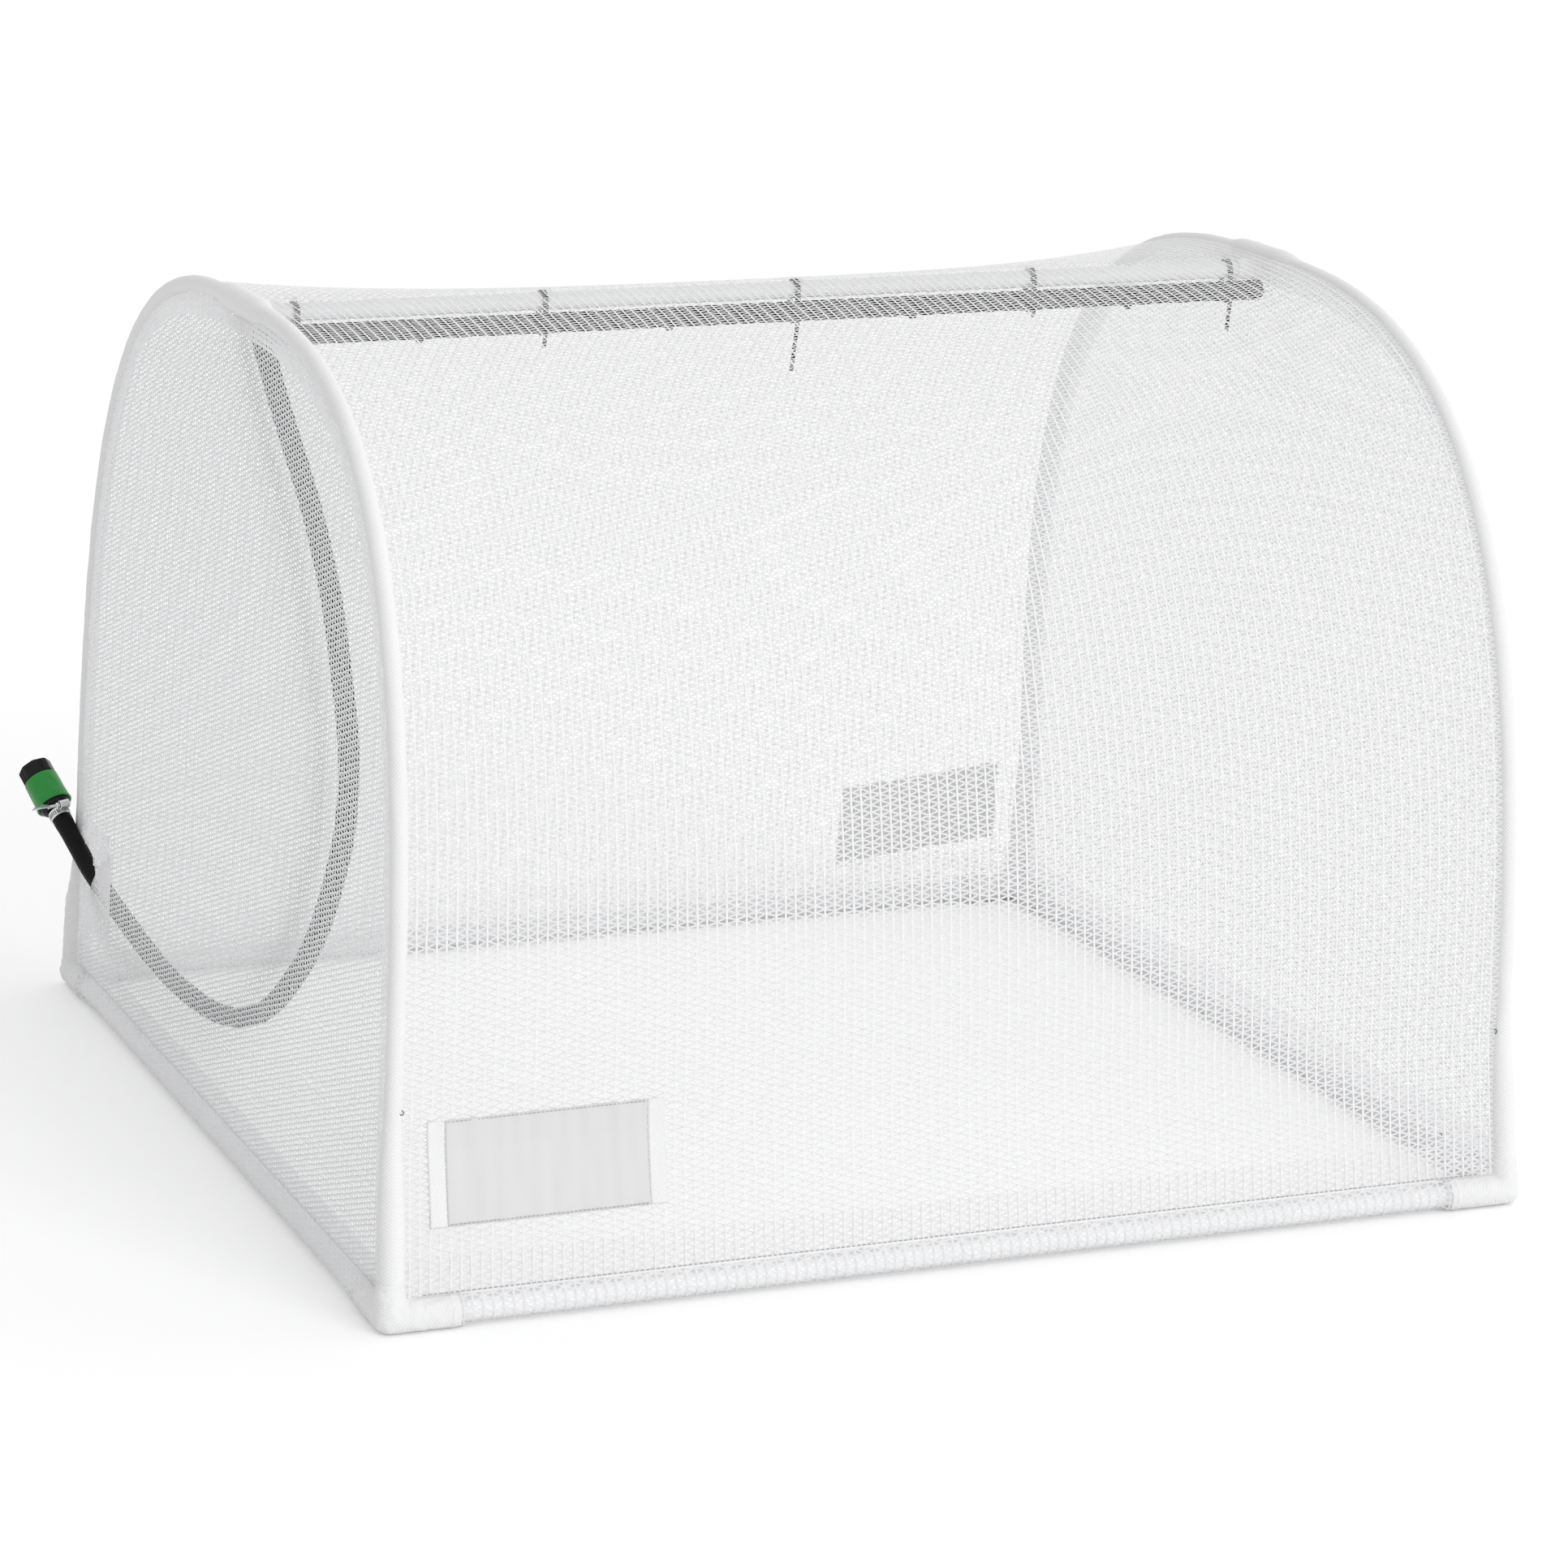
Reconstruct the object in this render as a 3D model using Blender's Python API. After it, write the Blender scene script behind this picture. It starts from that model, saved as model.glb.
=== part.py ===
"""Hooped mesh cover for a garden bed, with a misting hose tied under its ridge pole.

Metres, +Z up. +X runs along the front from left to right and +Y from front to rear.
The origin is on the ground under the middle of the base frame.
"""
import bpy
import bmesh
from math import ceil, cos, pi, radians, sin
from mathutils import Matrix, Vector
from mathutils.geometry import interpolate_bezier

for old_object in list(bpy.data.objects):
    bpy.data.objects.remove(old_object, do_unlink=True)

# Frame: base rails, hoops and ridge pole
FRAME_WIDTH = 1.000
FRAME_DEPTH = 1.044
KNEE_HALF_DEPTH = 0.505
KNEE_HEIGHT = 0.143
HOOP_HEIGHT = 0.745
HOOP_ROUNDNESS = 2.94
LEAN_LEFT = 0.035
LEAN_RIGHT = 0.0
ROD_RADIUS = 0.006
TUBE_RADIUS = 0.010
POLE_RADIUS = 0.008
TUBE_WALL = 0.0018

# Corner elbows and ridge tees
SOCKET_GAP = 0.0003
TUBE_SOCKET_WALL = 0.0032
ROD_SOCKET_WALL = 0.0027
TEE_STEM_WALL = 0.0014
ELBOW_ARM = 0.055
ELBOW_POST = 0.066
SOCKET_STOP = 0.019
FOOT_FLAT = 0.0008
TEE_HALF_LENGTH = 0.040
TEE_STEM = 0.030
TEE_WEB = 0.006
POLE_STOP_WALL = 0.001
POLE_BELOW_HOOP = 0.010

# Fabric cover
FABRIC = 0.0008
FABRIC_GAP = 0.0006
SLEEVE_WALL = 0.0012
SLEEVE_RAMP = 0.016
SHEET_OUTSIDE_HOOP = 0.004
SHEET_SAG = 0.038
SAG_CLIMB_POWER = 1.6
SAG_ACROSS_POWER = 2.4
RIDGE_DROP = 0.0035
RIDGE_POWER = 12
RIDGE_RISE_LENGTH = 0.10
HEM_TAPE_HEIGHT = 0.028
PANEL_OUTSIDE_HOOP = 0.003
NET_COLUMNS = 6
NET_BAR = 0.036
NET_FIRST_BAR = 3
NET_BAR_STEP = 2
NET_LAST_BAR = 17
PANEL_CELL_WIDTH = 0.155
PANEL_CELL_HEIGHT = 0.112
PANEL_RIM = 0.018
SLIT_RIM = 0.060
LABEL_WIDTH = 0.171
LABEL_HEIGHT = 0.087
LABEL_FROM_CORNER = 0.050
LABEL_BOTTOM = 0.081
LABEL_TAPE_WIDTH = 0.015
REAR_LABEL_WIDTH = 0.173
REAR_LABEL_HEIGHT = 0.082
REAR_LABEL_FROM_CORNER = 0.030
REAR_LABEL_BOTTOM = 0.061

# Misting hose, its ties and its jets
HOSE_RADIUS = 0.009
HOSE_UNDER_POLE = 0.0196
MIST_HOSE_FROM_LEFT_HOOP = 0.034
MIST_HOSE_FROM_RIGHT_HOOP = 0.016
PLUG_LENGTH = 0.013
PLUG_LIP = 0.0005
PLUG_CHAMFER = 0.0025
BARB_RADIUS = 0.0075
KNUCKLE_RADIUS = 0.0081
JET_RADIUS = 0.0035
JET_STEM_RADIUS = 0.0021
JET_STEM = 0.006
JET_HEIGHT = 0.003
JET_BEVEL = 0.0012
TIE_FROM_LEFT_HOOP = 0.043
TIE_FROM_RIGHT_HOOP = 0.039
TIE_SLIPS = (0.0, 0.003, 0.0175, 0.025, 0.0)
TIE_TAILS = (0.012, 0.018, 0.050, 0.012, 0.034)
TIE_WIDTH = 0.0048
TIE_THICKNESS = 0.0013
TIE_GAP = 0.0006
TIE_HEAD = (0.0077, 0.0040, 0.0064)
TIE_HEAD_OUT = 0.0025
TIE_HEAD_DROP = 0.002
TIE_TAIL_WIDTH = 0.0034
TIE_TAIL_LINE = (-0.25, -0.3, -1)

# Drop hose: under the ridge, down inside the left end, out through the slit.
# A point of its route is its distance in from the left rail, its depth and its height.
ELBOW_FROM_LEFT_HOOP = 0.012
ELBOW_DROP_ARM = 0.0142
DROP_LINE_START = (0, -0.187, -0.120)
HOSE_ROUTE = (
    (0.0470, -0.0187, 0.7034), (0.0470, -0.0530, 0.6735), (0.0480, -0.1060, 0.6300),
    (0.0480, -0.1510, 0.5945), (0.0475, -0.1810, 0.5660), (0.0470, -0.2070, 0.5370),
    (0.0450, -0.2340, 0.5030), (0.0425, -0.2600, 0.4620), (0.0410, -0.2770, 0.4300),
    (0.0390, -0.2860, 0.3920), (0.0370, -0.2800, 0.3500), (0.0350, -0.2650, 0.3150),
    (0.0330, -0.2390, 0.2740), (0.0315, -0.2030, 0.2320), (0.0300, -0.1520, 0.1900),
    (0.0300, -0.0810, 0.1450), (0.0300, -0.0040, 0.1120), (0.0300, 0.0780, 0.0900),
    (0.0300, 0.1620, 0.0780), (0.0290, 0.2540, 0.0740), (0.0275, 0.3350, 0.0780),
    (0.0220, 0.4030, 0.0920), (0.0080, 0.4530, 0.1190), (0.0000, 0.4745, 0.1366),
)
CONNECTOR_LINE = (-0.246, 0.723, 0.646)
STRAIGHT_HOSE_END = 0.060
SLIT_START = 21
FLAP_START = 22
FLAP_SPANS = 1.4
FLAP_HALF_TURN = 80

# Quick connector, measured along its axis from the hose's cut end
WATERWAY_RADIUS = 0.005
NECK_RADIUS = 0.0100
DOME_LENGTH = 0.0079
BODY_RADIUS = 0.0156
BODY_LENGTH = 0.0375
COLLAR_CLEARANCE = 0.0003
COLLAR_LOW_RADIUS = 0.0174
COLLAR_TOP_RADIUS = 0.0168
COLLAR_START = 0.0065
COLLAR_LENGTH = 0.0315
COLLAR_EDGE = 0.0008
SPIGOT_RADIUS = 0.0082
SPIGOT_CLEARANCE = 0.0004
SPIGOT_LENGTH = 0.0170
ADAPTOR_GAP = 0.0007
ADAPTOR_RADIUS = 0.0163
ADAPTOR_LENGTH = 0.0148
ADAPTOR_FOOT_EDGE = 0.0008
ADAPTOR_TOP_EDGE = 0.0015
TAP_THREAD_RADIUS = 0.0128
TAP_THREAD_DEPTH = 0.0105
GROOVE_FROM_TIP = 0.004
GROOVE_DEPTH = 0.0012
GROOVE_WIDTH = 0.0024
SEAL_PLAY = 0.00015
WASHER_THICKNESS = 0.002
WASHER_HOLE_RADIUS = 0.006

# Hose clamp with a winged screw
CLAMP_FROM_END = 0.0015
CLAMP_BAND_WIDTH = 0.008
CLAMP_BAND_WALL = 0.0008
CLAMP_SCREW_SIDE = (0.132, -0.635, 0.761)
HOUSING_LENGTH = 0.010
HOUSING_WALL = 0.0014
HOUSING_INSET = 0.0005
SCREW_RADIUS = 0.0029
SCREW_OUT = 0.0158
SCREW_SHIFT = 0.0015
SCREW_TAIL = 0.0062
SCREW_REACH = 0.0180
WING_ROOT = 0.002
WING_LENGTH = 0.0185
WING_WIDTH = 0.0090
WING_THICKNESS = 0.0014
WING_TURN = 35

# How finely round shapes are made
ROD_SIDES = 8
TUBE_SIDES = 16
CONNECTOR_SIDES = 24
SMALL_SIDES = 12
LEG_STEPS = 6
ARCH_STEPS = 400
HOOP_SPACING = 0.055
BAND_COLUMNS = 5
LABEL_COLUMNS = 3
TIE_STEPS = 8
ROUTE_STEPS = 3
CUT_PAST = 0.010

HALF_WIDTH = FRAME_WIDTH / 2
HALF_DEPTH = FRAME_DEPTH / 2
TUBE_BORE_RADIUS = TUBE_RADIUS + SOCKET_GAP
POLE_BORE_RADIUS = POLE_RADIUS + SOCKET_GAP
ROD_BORE_RADIUS = ROD_RADIUS + SOCKET_GAP
TUBE_SOCKET_RADIUS = TUBE_BORE_RADIUS + TUBE_SOCKET_WALL
ROD_SOCKET_RADIUS = ROD_BORE_RADIUS + ROD_SOCKET_WALL
TEE_STEM_RADIUS = POLE_BORE_RADIUS + TEE_STEM_WALL
BASE_HEIGHT = TUBE_SOCKET_RADIUS - FOOT_FLAT
POLE_HEIGHT = HOOP_HEIGHT - POLE_BELOW_HOOP
HOSE_HEIGHT = POLE_HEIGHT - HOSE_UNDER_POLE
HEM_BOTTOM = BASE_HEIGHT + TUBE_SOCKET_RADIUS + 2 * FABRIC_GAP
SLEEVE_RADIUS = ROD_BORE_RADIUS + SLEEVE_WALL
WIDE_SLEEVE_RADIUS = (ROD_SOCKET_RADIUS + SOCKET_GAP) / cos(pi / ROD_SIDES) + SLEEVE_WALL


def principled(name, colour, roughness, metallic=0.0):
    finish = bpy.data.materials.new(name)
    finish.use_nodes = True
    shader = finish.node_tree.nodes["Principled BSDF"]
    shader.inputs["Base Color"].default_value = (*colour, 1.0)
    shader.inputs["Roughness"].default_value = roughness
    shader.inputs["Metallic"].default_value = metallic
    return finish


WHITE_PLASTIC = principled("white_plastic", (0.86, 0.87, 0.87), 0.45)
WHITE_MESH = principled("white_mesh", (0.90, 0.91, 0.91), 0.80)
WHITE_TAPE = principled("white_tape", (0.93, 0.93, 0.93), 0.75)
GREY_LABEL = principled("grey_label", (0.74, 0.75, 0.76), 0.60)
BLACK_HOSE = principled("black_hose", (0.015, 0.015, 0.016), 0.50)
BLACK_PLASTIC = principled("black_plastic", (0.012, 0.012, 0.013), 0.40)
GREEN_PLASTIC = principled("green_plastic", (0.012, 0.27, 0.035), 0.35)
BLACK_RUBBER = principled("black_rubber", (0.02, 0.02, 0.02), 0.75)
STEEL = principled("stainless_steel", (0.72, 0.72, 0.73), 0.25, 1.0)


def make_object(name, mesh_data, finish, place=Matrix()):
    """Turn a finished bmesh into a named object in its place, with smooth round sides."""
    bmesh.ops.recalc_face_normals(mesh_data, faces=mesh_data.faces)
    mesh = bpy.data.meshes.new(name)
    mesh_data.to_mesh(mesh)
    mesh_data.free()
    mesh.materials.append(finish)
    mesh.shade_smooth()
    mesh.set_sharp_from_angle(angle=radians(40))
    piece = bpy.data.objects.new(name, mesh)
    bpy.context.scene.collection.objects.link(piece)
    piece.matrix_world = place
    return piece


def loft(name, rings, finish, closed=False, place=Matrix()):
    """Join rings of points side by side. A closed loft runs back to its first ring."""
    mesh_data = bmesh.new()
    loops = [[mesh_data.verts.new(point) for point in ring] for ring in rings]
    count = len(loops[0])
    pairs = list(zip(loops, loops[1:]))
    if closed:
        pairs.append((loops[-1], loops[0]))
    for first, second in pairs:
        for i in range(count):
            j = (i + 1) % count
            mesh_data.faces.new((first[i], first[j], second[j], second[i]))
    if not closed:
        mesh_data.faces.new(loops[0])
        mesh_data.faces.new(loops[-1])
    return make_object(name, mesh_data, finish, place)


def circle(centre, across, up, radius, sides):
    """A ring of points round a centre, starting on the first direction."""
    turns = [2 * pi * i / sides for i in range(sides)]
    return [centre + radius * (cos(a) * across + sin(a) * up) for a in turns]


def turned(name, profile, place, finish, sides, hollow=True):
    """Turn (radius, height) pairs about local Z. A hollow profile goes round its wall."""
    rings = [circle(Vector((0, 0, h)), Vector((1, 0, 0)), Vector((0, 1, 0)), r, sides)
             for r, h in profile]
    return loft(name, rings, finish, hollow, place)


def rod(name, radius, start, end, place, finish, sides):
    """A solid round bar along local Z, also used as a drill or to add an arm."""
    return turned(name, [(radius, start), (radius, end)], place, finish, sides, hollow=False)


def aim(origin, direction, across=(0, 0, 1)):
    """A placement whose Z axis points along a direction, with X nearest to another."""
    z_axis = Vector(direction).normalized()
    x_axis = Vector(across) - Vector(across).dot(z_axis) * z_axis
    if x_axis.length < 1e-6:
        x_axis = z_axis.orthogonal()
    x_axis.normalize()
    y_axis = z_axis.cross(x_axis)
    turn = Matrix((x_axis, y_axis, z_axis)).transposed().to_4x4()
    return Matrix.Translation(Vector(origin)) @ turn


def boolean(piece, tool, operation):
    """Cut a piece with a tool, or join the tool to it, and hide the tool."""
    tool.hide_render = True
    tool.display_type = "WIRE"
    modifier = piece.modifiers.new(operation.lower(), "BOOLEAN")
    modifier.operation = operation
    modifier.solver = "EXACT"
    modifier.object = tool


def box(name, low, high, finish, place=Matrix()):
    low, high = Vector(low), Vector(high)
    mesh_data = bmesh.new()
    bmesh.ops.create_cube(mesh_data, size=1.0)
    bmesh.ops.scale(mesh_data, vec=high - low, verts=mesh_data.verts)
    bmesh.ops.translate(mesh_data, vec=(low + high) / 2, verts=mesh_data.verts)
    return make_object(name, mesh_data, finish, place)


def ball(name, centre, radius, finish, sides):
    mesh_data = bmesh.new()
    bmesh.ops.create_uvsphere(mesh_data, u_segments=sides, v_segments=8, radius=radius)
    return make_object(name, mesh_data, finish, Matrix.Translation(centre))


def half_hoop_points():
    """Half the hoop's line as (distance from the middle, height), from foot to crown.

    A straight splayed leg runs up to the knee, and a rounded arch from there on.
    """
    points = []
    for i in range(LEG_STEPS):
        share = i / LEG_STEPS
        height = BASE_HEIGHT + share * (KNEE_HEIGHT - BASE_HEIGHT)
        points.append(Vector((HALF_DEPTH + share * (KNEE_HALF_DEPTH - HALF_DEPTH), height)))
    for i in range(ARCH_STEPS + 1):
        angle = (pi / 2) * i / ARCH_STEPS
        reach = max(cos(angle), 0.0) ** (2 / HOOP_ROUNDNESS)
        rise = sin(angle) ** (2 / HOOP_ROUNDNESS)
        points.append(Vector((KNEE_HALF_DEPTH * reach,
                              KNEE_HEIGHT + (HOOP_HEIGHT - KNEE_HEIGHT) * rise)))
    return points


HOOP_POINTS = half_hoop_points()
HOOP_RUN = [0.0]
for before, after in zip(HOOP_POINTS, HOOP_POINTS[1:]):
    HOOP_RUN.append(HOOP_RUN[-1] + (after - before).length)
CROWN_RUN = HOOP_RUN[-1]
ELBOW_TOP_RUN = ELBOW_POST + FABRIC_GAP
TEE_RUN = CROWN_RUN - TEE_HALF_LENGTH - FABRIC_GAP


def hoop_point(run):
    """Half depth and height at a distance along the hoop from its foot."""
    for i in range(1, len(HOOP_RUN)):
        if HOOP_RUN[i] >= run or i == len(HOOP_RUN) - 1:
            share = (run - HOOP_RUN[i - 1]) / (HOOP_RUN[i] - HOOP_RUN[i - 1])
            return HOOP_POINTS[i - 1].lerp(HOOP_POINTS[i], min(share, 1.0))


def hoop_outward(run):
    """The direction square to the hoop, away from the bed, as (depth, height)."""
    step = 0.002
    if run >= CROWN_RUN - step:
        return Vector((0.0, 1.0))
    along = (hoop_point(run + step) - hoop_point(max(run - step, 0.0))).normalized()
    return Vector((along.y, -along.x))


def run_at_height(height):
    """The distance along the hoop at which its line first reaches a height."""
    for i, point in enumerate(HOOP_POINTS):
        if point.y >= height:
            share = (height - HOOP_POINTS[i - 1].y) / (point.y - HOOP_POINTS[i - 1].y)
            return HOOP_RUN[i - 1] + share * (HOOP_RUN[i] - HOOP_RUN[i - 1])


def shared_stations():
    """Places along the half hoop where every rod, sleeve, sheet and panel has a ring."""
    low, high = ELBOW_TOP_RUN + SLEEVE_RAMP, TEE_RUN - SLEEVE_RAMP
    count = ceil((high - low) / HOOP_SPACING)
    even = [low + (high - low) * i / count for i in range(count + 1)]
    return [ELBOW_TOP_RUN] + even + [TEE_RUN]


SHARED_STATIONS = shared_stations()


def stations(start, end):
    inner = [s for s in SHARED_STATIONS if start + 1e-6 < s < end - 1e-6]
    return [start] + inner + [end]


def sleeve_radius(run):
    """The sleeve's outer radius, wider where it goes over an elbow's post or a tee."""
    over_elbow = 1 - (run - ELBOW_TOP_RUN) / SLEEVE_RAMP
    over_tee = 1 - (TEE_RUN - run) / SLEEVE_RAMP
    share = min(max(over_elbow, over_tee, 0.0), 1.0)
    return SLEEVE_RADIUS + share * (WIDE_SLEEVE_RADIUS - SLEEVE_RADIUS)


def hoop_x(side, height):
    lean = LEAN_LEFT if side < 0 else LEAN_RIGHT
    return side * (HALF_WIDTH - lean * height / HOOP_HEIGHT)


def hoop_place(side, end, run):
    """A point on a hoop: side -1 left or 1 right, end -1 front or 1 rear."""
    point = hoop_point(run)
    return Vector((hoop_x(side, point.y), end * point.x, point.y))


def hoop_rings(side, end, runs, radius_at):
    rings = []
    for run in runs:
        outward = hoop_outward(run)
        across = Vector((0, end * outward.x, outward.y))
        rings.append(circle(hoop_place(side, end, run), across, Vector((1, 0, 0)),
                            radius_at(run), ROD_SIDES))
    return rings


def make_hoop_rods():
    """Each hoop is two bent rods that meet in the ridge tee."""
    runs = stations(SOCKET_STOP + SOCKET_GAP, CROWN_RUN - TEE_WEB - SOCKET_GAP)
    for side, side_name in ((-1, "left"), (1, "right")):
        for end, end_name in ((-1, "front"), (1, "rear")):
            rings = hoop_rings(side, end, runs, lambda run: ROD_RADIUS)
            loft(f"hoop_rod_{side_name}_{end_name}", rings, WHITE_PLASTIC)


def crown(side):
    return Vector((hoop_x(side, HOOP_HEIGHT), 0, HOOP_HEIGHT))


def pole_place(side):
    """A placement on the ridge pole's line at a hoop, pointing towards the middle."""
    return aim((crown(side).x, 0, POLE_HEIGHT), (-side, 0, 0))


def make_hoop_sleeves():
    """The stitched fabric channel that holds each hoop, open at both feet."""
    half = stations(SOCKET_STOP + 2 * SOCKET_GAP, CROWN_RUN)
    for side, side_name in ((-1, "left"), (1, "right")):
        rings = []
        for wall in (0.0, SLEEVE_WALL):
            front = hoop_rings(side, -1, half, lambda run: sleeve_radius(run) - wall)
            rear = hoop_rings(side, 1, half[:-1], lambda run: sleeve_radius(run) - wall)
            rows = front + rear[::-1]
            rings += rows if wall == 0.0 else rows[::-1]
        sleeve = loft(f"hoop_sleeve_{side_name}", rings, WHITE_TAPE, closed=True)
        stem_hole = rod(f"cutter_stem_{side_name}", TEE_STEM_RADIUS + FABRIC_GAP,
                        -2 * FABRIC_GAP, TEE_STEM, pole_place(side), WHITE_TAPE, TUBE_SIDES)
        boolean(sleeve, stem_hole, "DIFFERENCE")


def make_tees():
    """A three-way tee at each crown: two hoop rods and the ridge pole."""
    for side, side_name in ((-1, "left"), (1, "right")):
        tee = rod(f"ridge_tee_{side_name}", ROD_SOCKET_RADIUS, -TEE_HALF_LENGTH, TEE_HALF_LENGTH,
                  aim(crown(side), (0, 1, 0)), WHITE_PLASTIC, TUBE_SIDES)
        stem = rod(f"cutter_tee_stem_{side_name}", TEE_STEM_RADIUS, 0.0, TEE_STEM,
                   pole_place(side), WHITE_PLASTIC, TUBE_SIDES)
        boolean(tee, stem, "UNION")
        for end in (-1, 1):
            bore = rod(f"cutter_tee_rod_{side_name}_{end}", ROD_BORE_RADIUS, TEE_WEB,
                       TEE_HALF_LENGTH + CUT_PAST, aim(crown(side), (0, end, 0)),
                       WHITE_PLASTIC, TUBE_SIDES)
            boolean(tee, bore, "DIFFERENCE")
        pole_bore = rod(f"cutter_tee_pole_{side_name}", POLE_BORE_RADIUS,
                        ROD_SOCKET_RADIUS + POLE_STOP_WALL, TEE_STEM + CUT_PAST,
                        pole_place(side), WHITE_PLASTIC, TUBE_SIDES)
        boolean(tee, pole_bore, "DIFFERENCE")


def make_tube(name, start, end, radius, wall, finish):
    """An open-ended round tube from one point to another."""
    start, end = Vector(start), Vector(end)
    length = (end - start).length
    profile = [(radius, 0.0), (radius, length), (radius - wall, length), (radius - wall, 0.0)]
    return turned(name, profile, aim(start, end - start), finish, TUBE_SIDES)


def make_ridge_pole():
    stop = ROD_SOCKET_RADIUS + POLE_STOP_WALL + SOCKET_GAP
    make_tube("ridge_pole", (crown(-1).x + stop, 0, POLE_HEIGHT),
              (crown(1).x - stop, 0, POLE_HEIGHT), POLE_RADIUS, TUBE_WALL, WHITE_PLASTIC)


def base_lines():
    """Each base rail's name, and its end points at the corner centres."""
    x, y, z = HALF_WIDTH, HALF_DEPTH, BASE_HEIGHT
    return (("front", Vector((-x, -y, z)), Vector((x, -y, z))),
            ("rear", Vector((-x, y, z)), Vector((x, y, z))),
            ("left", Vector((-x, -y, z)), Vector((-x, y, z))),
            ("right", Vector((x, -y, z)), Vector((x, y, z))))


def make_rails_and_pockets():
    """Four base rails, each inside a stitched pocket along the cover's hem."""
    for name, start, end in base_lines():
        along = (end - start).normalized()
        stop = (SOCKET_STOP + SOCKET_GAP) * along
        make_tube(f"base_rail_{name}", start + stop, end - stop,
                  TUBE_RADIUS, TUBE_WALL, WHITE_PLASTIC)
        pocket = (ELBOW_ARM + FABRIC_GAP) * along
        make_tube(f"hem_pocket_{name}", start + pocket, end - pocket,
                  TUBE_BORE_RADIUS + FABRIC, FABRIC, WHITE_MESH)


def make_elbow(side, end, label):
    """A three-way elbow at one corner: two rails and a hoop's foot."""
    corner = Vector((side * HALF_WIDTH, end * HALF_DEPTH, BASE_HEIGHT))
    foot = hoop_place(side, end, 0.0)
    post_line = hoop_place(side, end, ELBOW_POST) - foot
    arms = ((corner, (-side, 0, 0), TUBE_SOCKET_RADIUS, TUBE_BORE_RADIUS, ELBOW_ARM),
            (corner, (0, -end, 0), TUBE_SOCKET_RADIUS, TUBE_BORE_RADIUS, ELBOW_ARM),
            (foot, post_line, ROD_SOCKET_RADIUS, ROD_BORE_RADIUS, ELBOW_POST))
    elbow = ball(f"corner_elbow_{label}", corner, TUBE_SOCKET_RADIUS + SOCKET_GAP,
                 WHITE_PLASTIC, TUBE_SIDES)
    for i, (start, line, outer, bore, length) in enumerate(arms):
        arm = rod(f"cutter_arm_{label}_{i}", outer, 0.0, length, aim(start, line),
                  WHITE_PLASTIC, TUBE_SIDES)
        boolean(elbow, arm, "UNION")
    for i, (start, line, outer, bore, length) in enumerate(arms):
        hole = rod(f"cutter_bore_{label}_{i}", bore, SOCKET_STOP, length + CUT_PAST,
                   aim(start, line), WHITE_PLASTIC, TUBE_SIDES)
        boolean(elbow, hole, "DIFFERENCE")
    reach = Vector((2 * ELBOW_ARM, 2 * ELBOW_ARM, 0))
    below = Vector((corner.x, corner.y, -CUT_PAST))
    ground = box(f"cutter_ground_{label}", below - reach, Vector((corner.x, corner.y, 0)) + reach,
                 WHITE_PLASTIC)
    boolean(elbow, ground, "DIFFERENCE")


def make_elbows():
    for side, side_name in ((-1, "left"), (1, "right")):
        for end, end_name in ((-1, "front"), (1, "rear")):
            make_elbow(side, end, f"{end_name}_{side_name}")


def sheet_sag(x, run, left, right):
    """How far the sheet is drawn in between the hoops, over its sides and at the ridge."""
    across = abs(2 * (x - left) / (right - left) - 1)
    hem_run = run_at_height(HEM_BOTTOM)
    climb = min(max((run - hem_run) / (CROWN_RUN - hem_run), 0.0), 1.0)
    belly = SHEET_SAG * sin(pi * climb ** SAG_CLIMB_POWER) * (1 - across ** SAG_ACROSS_POWER)
    from_hoop = min((1 - across) * (right - left) / 2 / RIDGE_RISE_LENGTH, 1.0)
    return belly + RIDGE_DROP * climb ** RIDGE_POWER * sin(from_hoop * pi / 2)


def sheet_point(x, end, run, out):
    """A point on the main sheet, or a little outside or inside it."""
    point = hoop_point(run)
    sag = sheet_sag(x, run, hoop_x(-1, point.y), hoop_x(1, point.y))
    place = point + hoop_outward(run) * (SHEET_OUTSIDE_HOOP + out - sag)
    return Vector((x, end * place.x, place.y))


def sheet_strip(name, columns, rows, out, finish):
    """A thin closed skin on the main sheet. A row is (end, run, left x, right x)."""
    rings = []
    for end, run, left, right in rows:
        places = [left + (right - left) * i / columns for i in range(columns + 1)]
        outside = [sheet_point(x, end, run, out + FABRIC / 2) for x in places]
        inside = [sheet_point(x, end, run, out - FABRIC / 2) for x in places]
        rings.append(outside + inside[::-1])
    return loft(name, rings, finish)


def sheet_limits(run):
    """The main sheet's left and right edges beside the sleeves."""
    height = hoop_point(run).y
    clear = sleeve_radius(run) + FABRIC_GAP
    return hoop_x(-1, height) + clear, hoop_x(1, height) - clear


def sheet_line(end, run, out):
    """Points across the sheet on both edges of every opening, on a chord between stations."""
    known = stations(run_at_height(HEM_BOTTOM), CROWN_RUN)
    after = next(i for i in range(1, len(known)) if run <= known[i] + 1e-9)
    share = (run - known[after - 1]) / (known[after] - known[after - 1])
    ends = []
    for station in known[after - 1:after + 1]:
        left, right = sheet_limits(station)
        cell = (right - left) / NET_COLUMNS
        places = [left]
        for i in range(NET_COLUMNS):
            places += [left + i * cell + NET_BAR / 2, left + (i + 1) * cell - NET_BAR / 2]
        ends.append([sheet_point(x, end, station, out) for x in places + [right]])
    return [low.lerp(high, share) for low, high in zip(*ends)]


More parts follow.
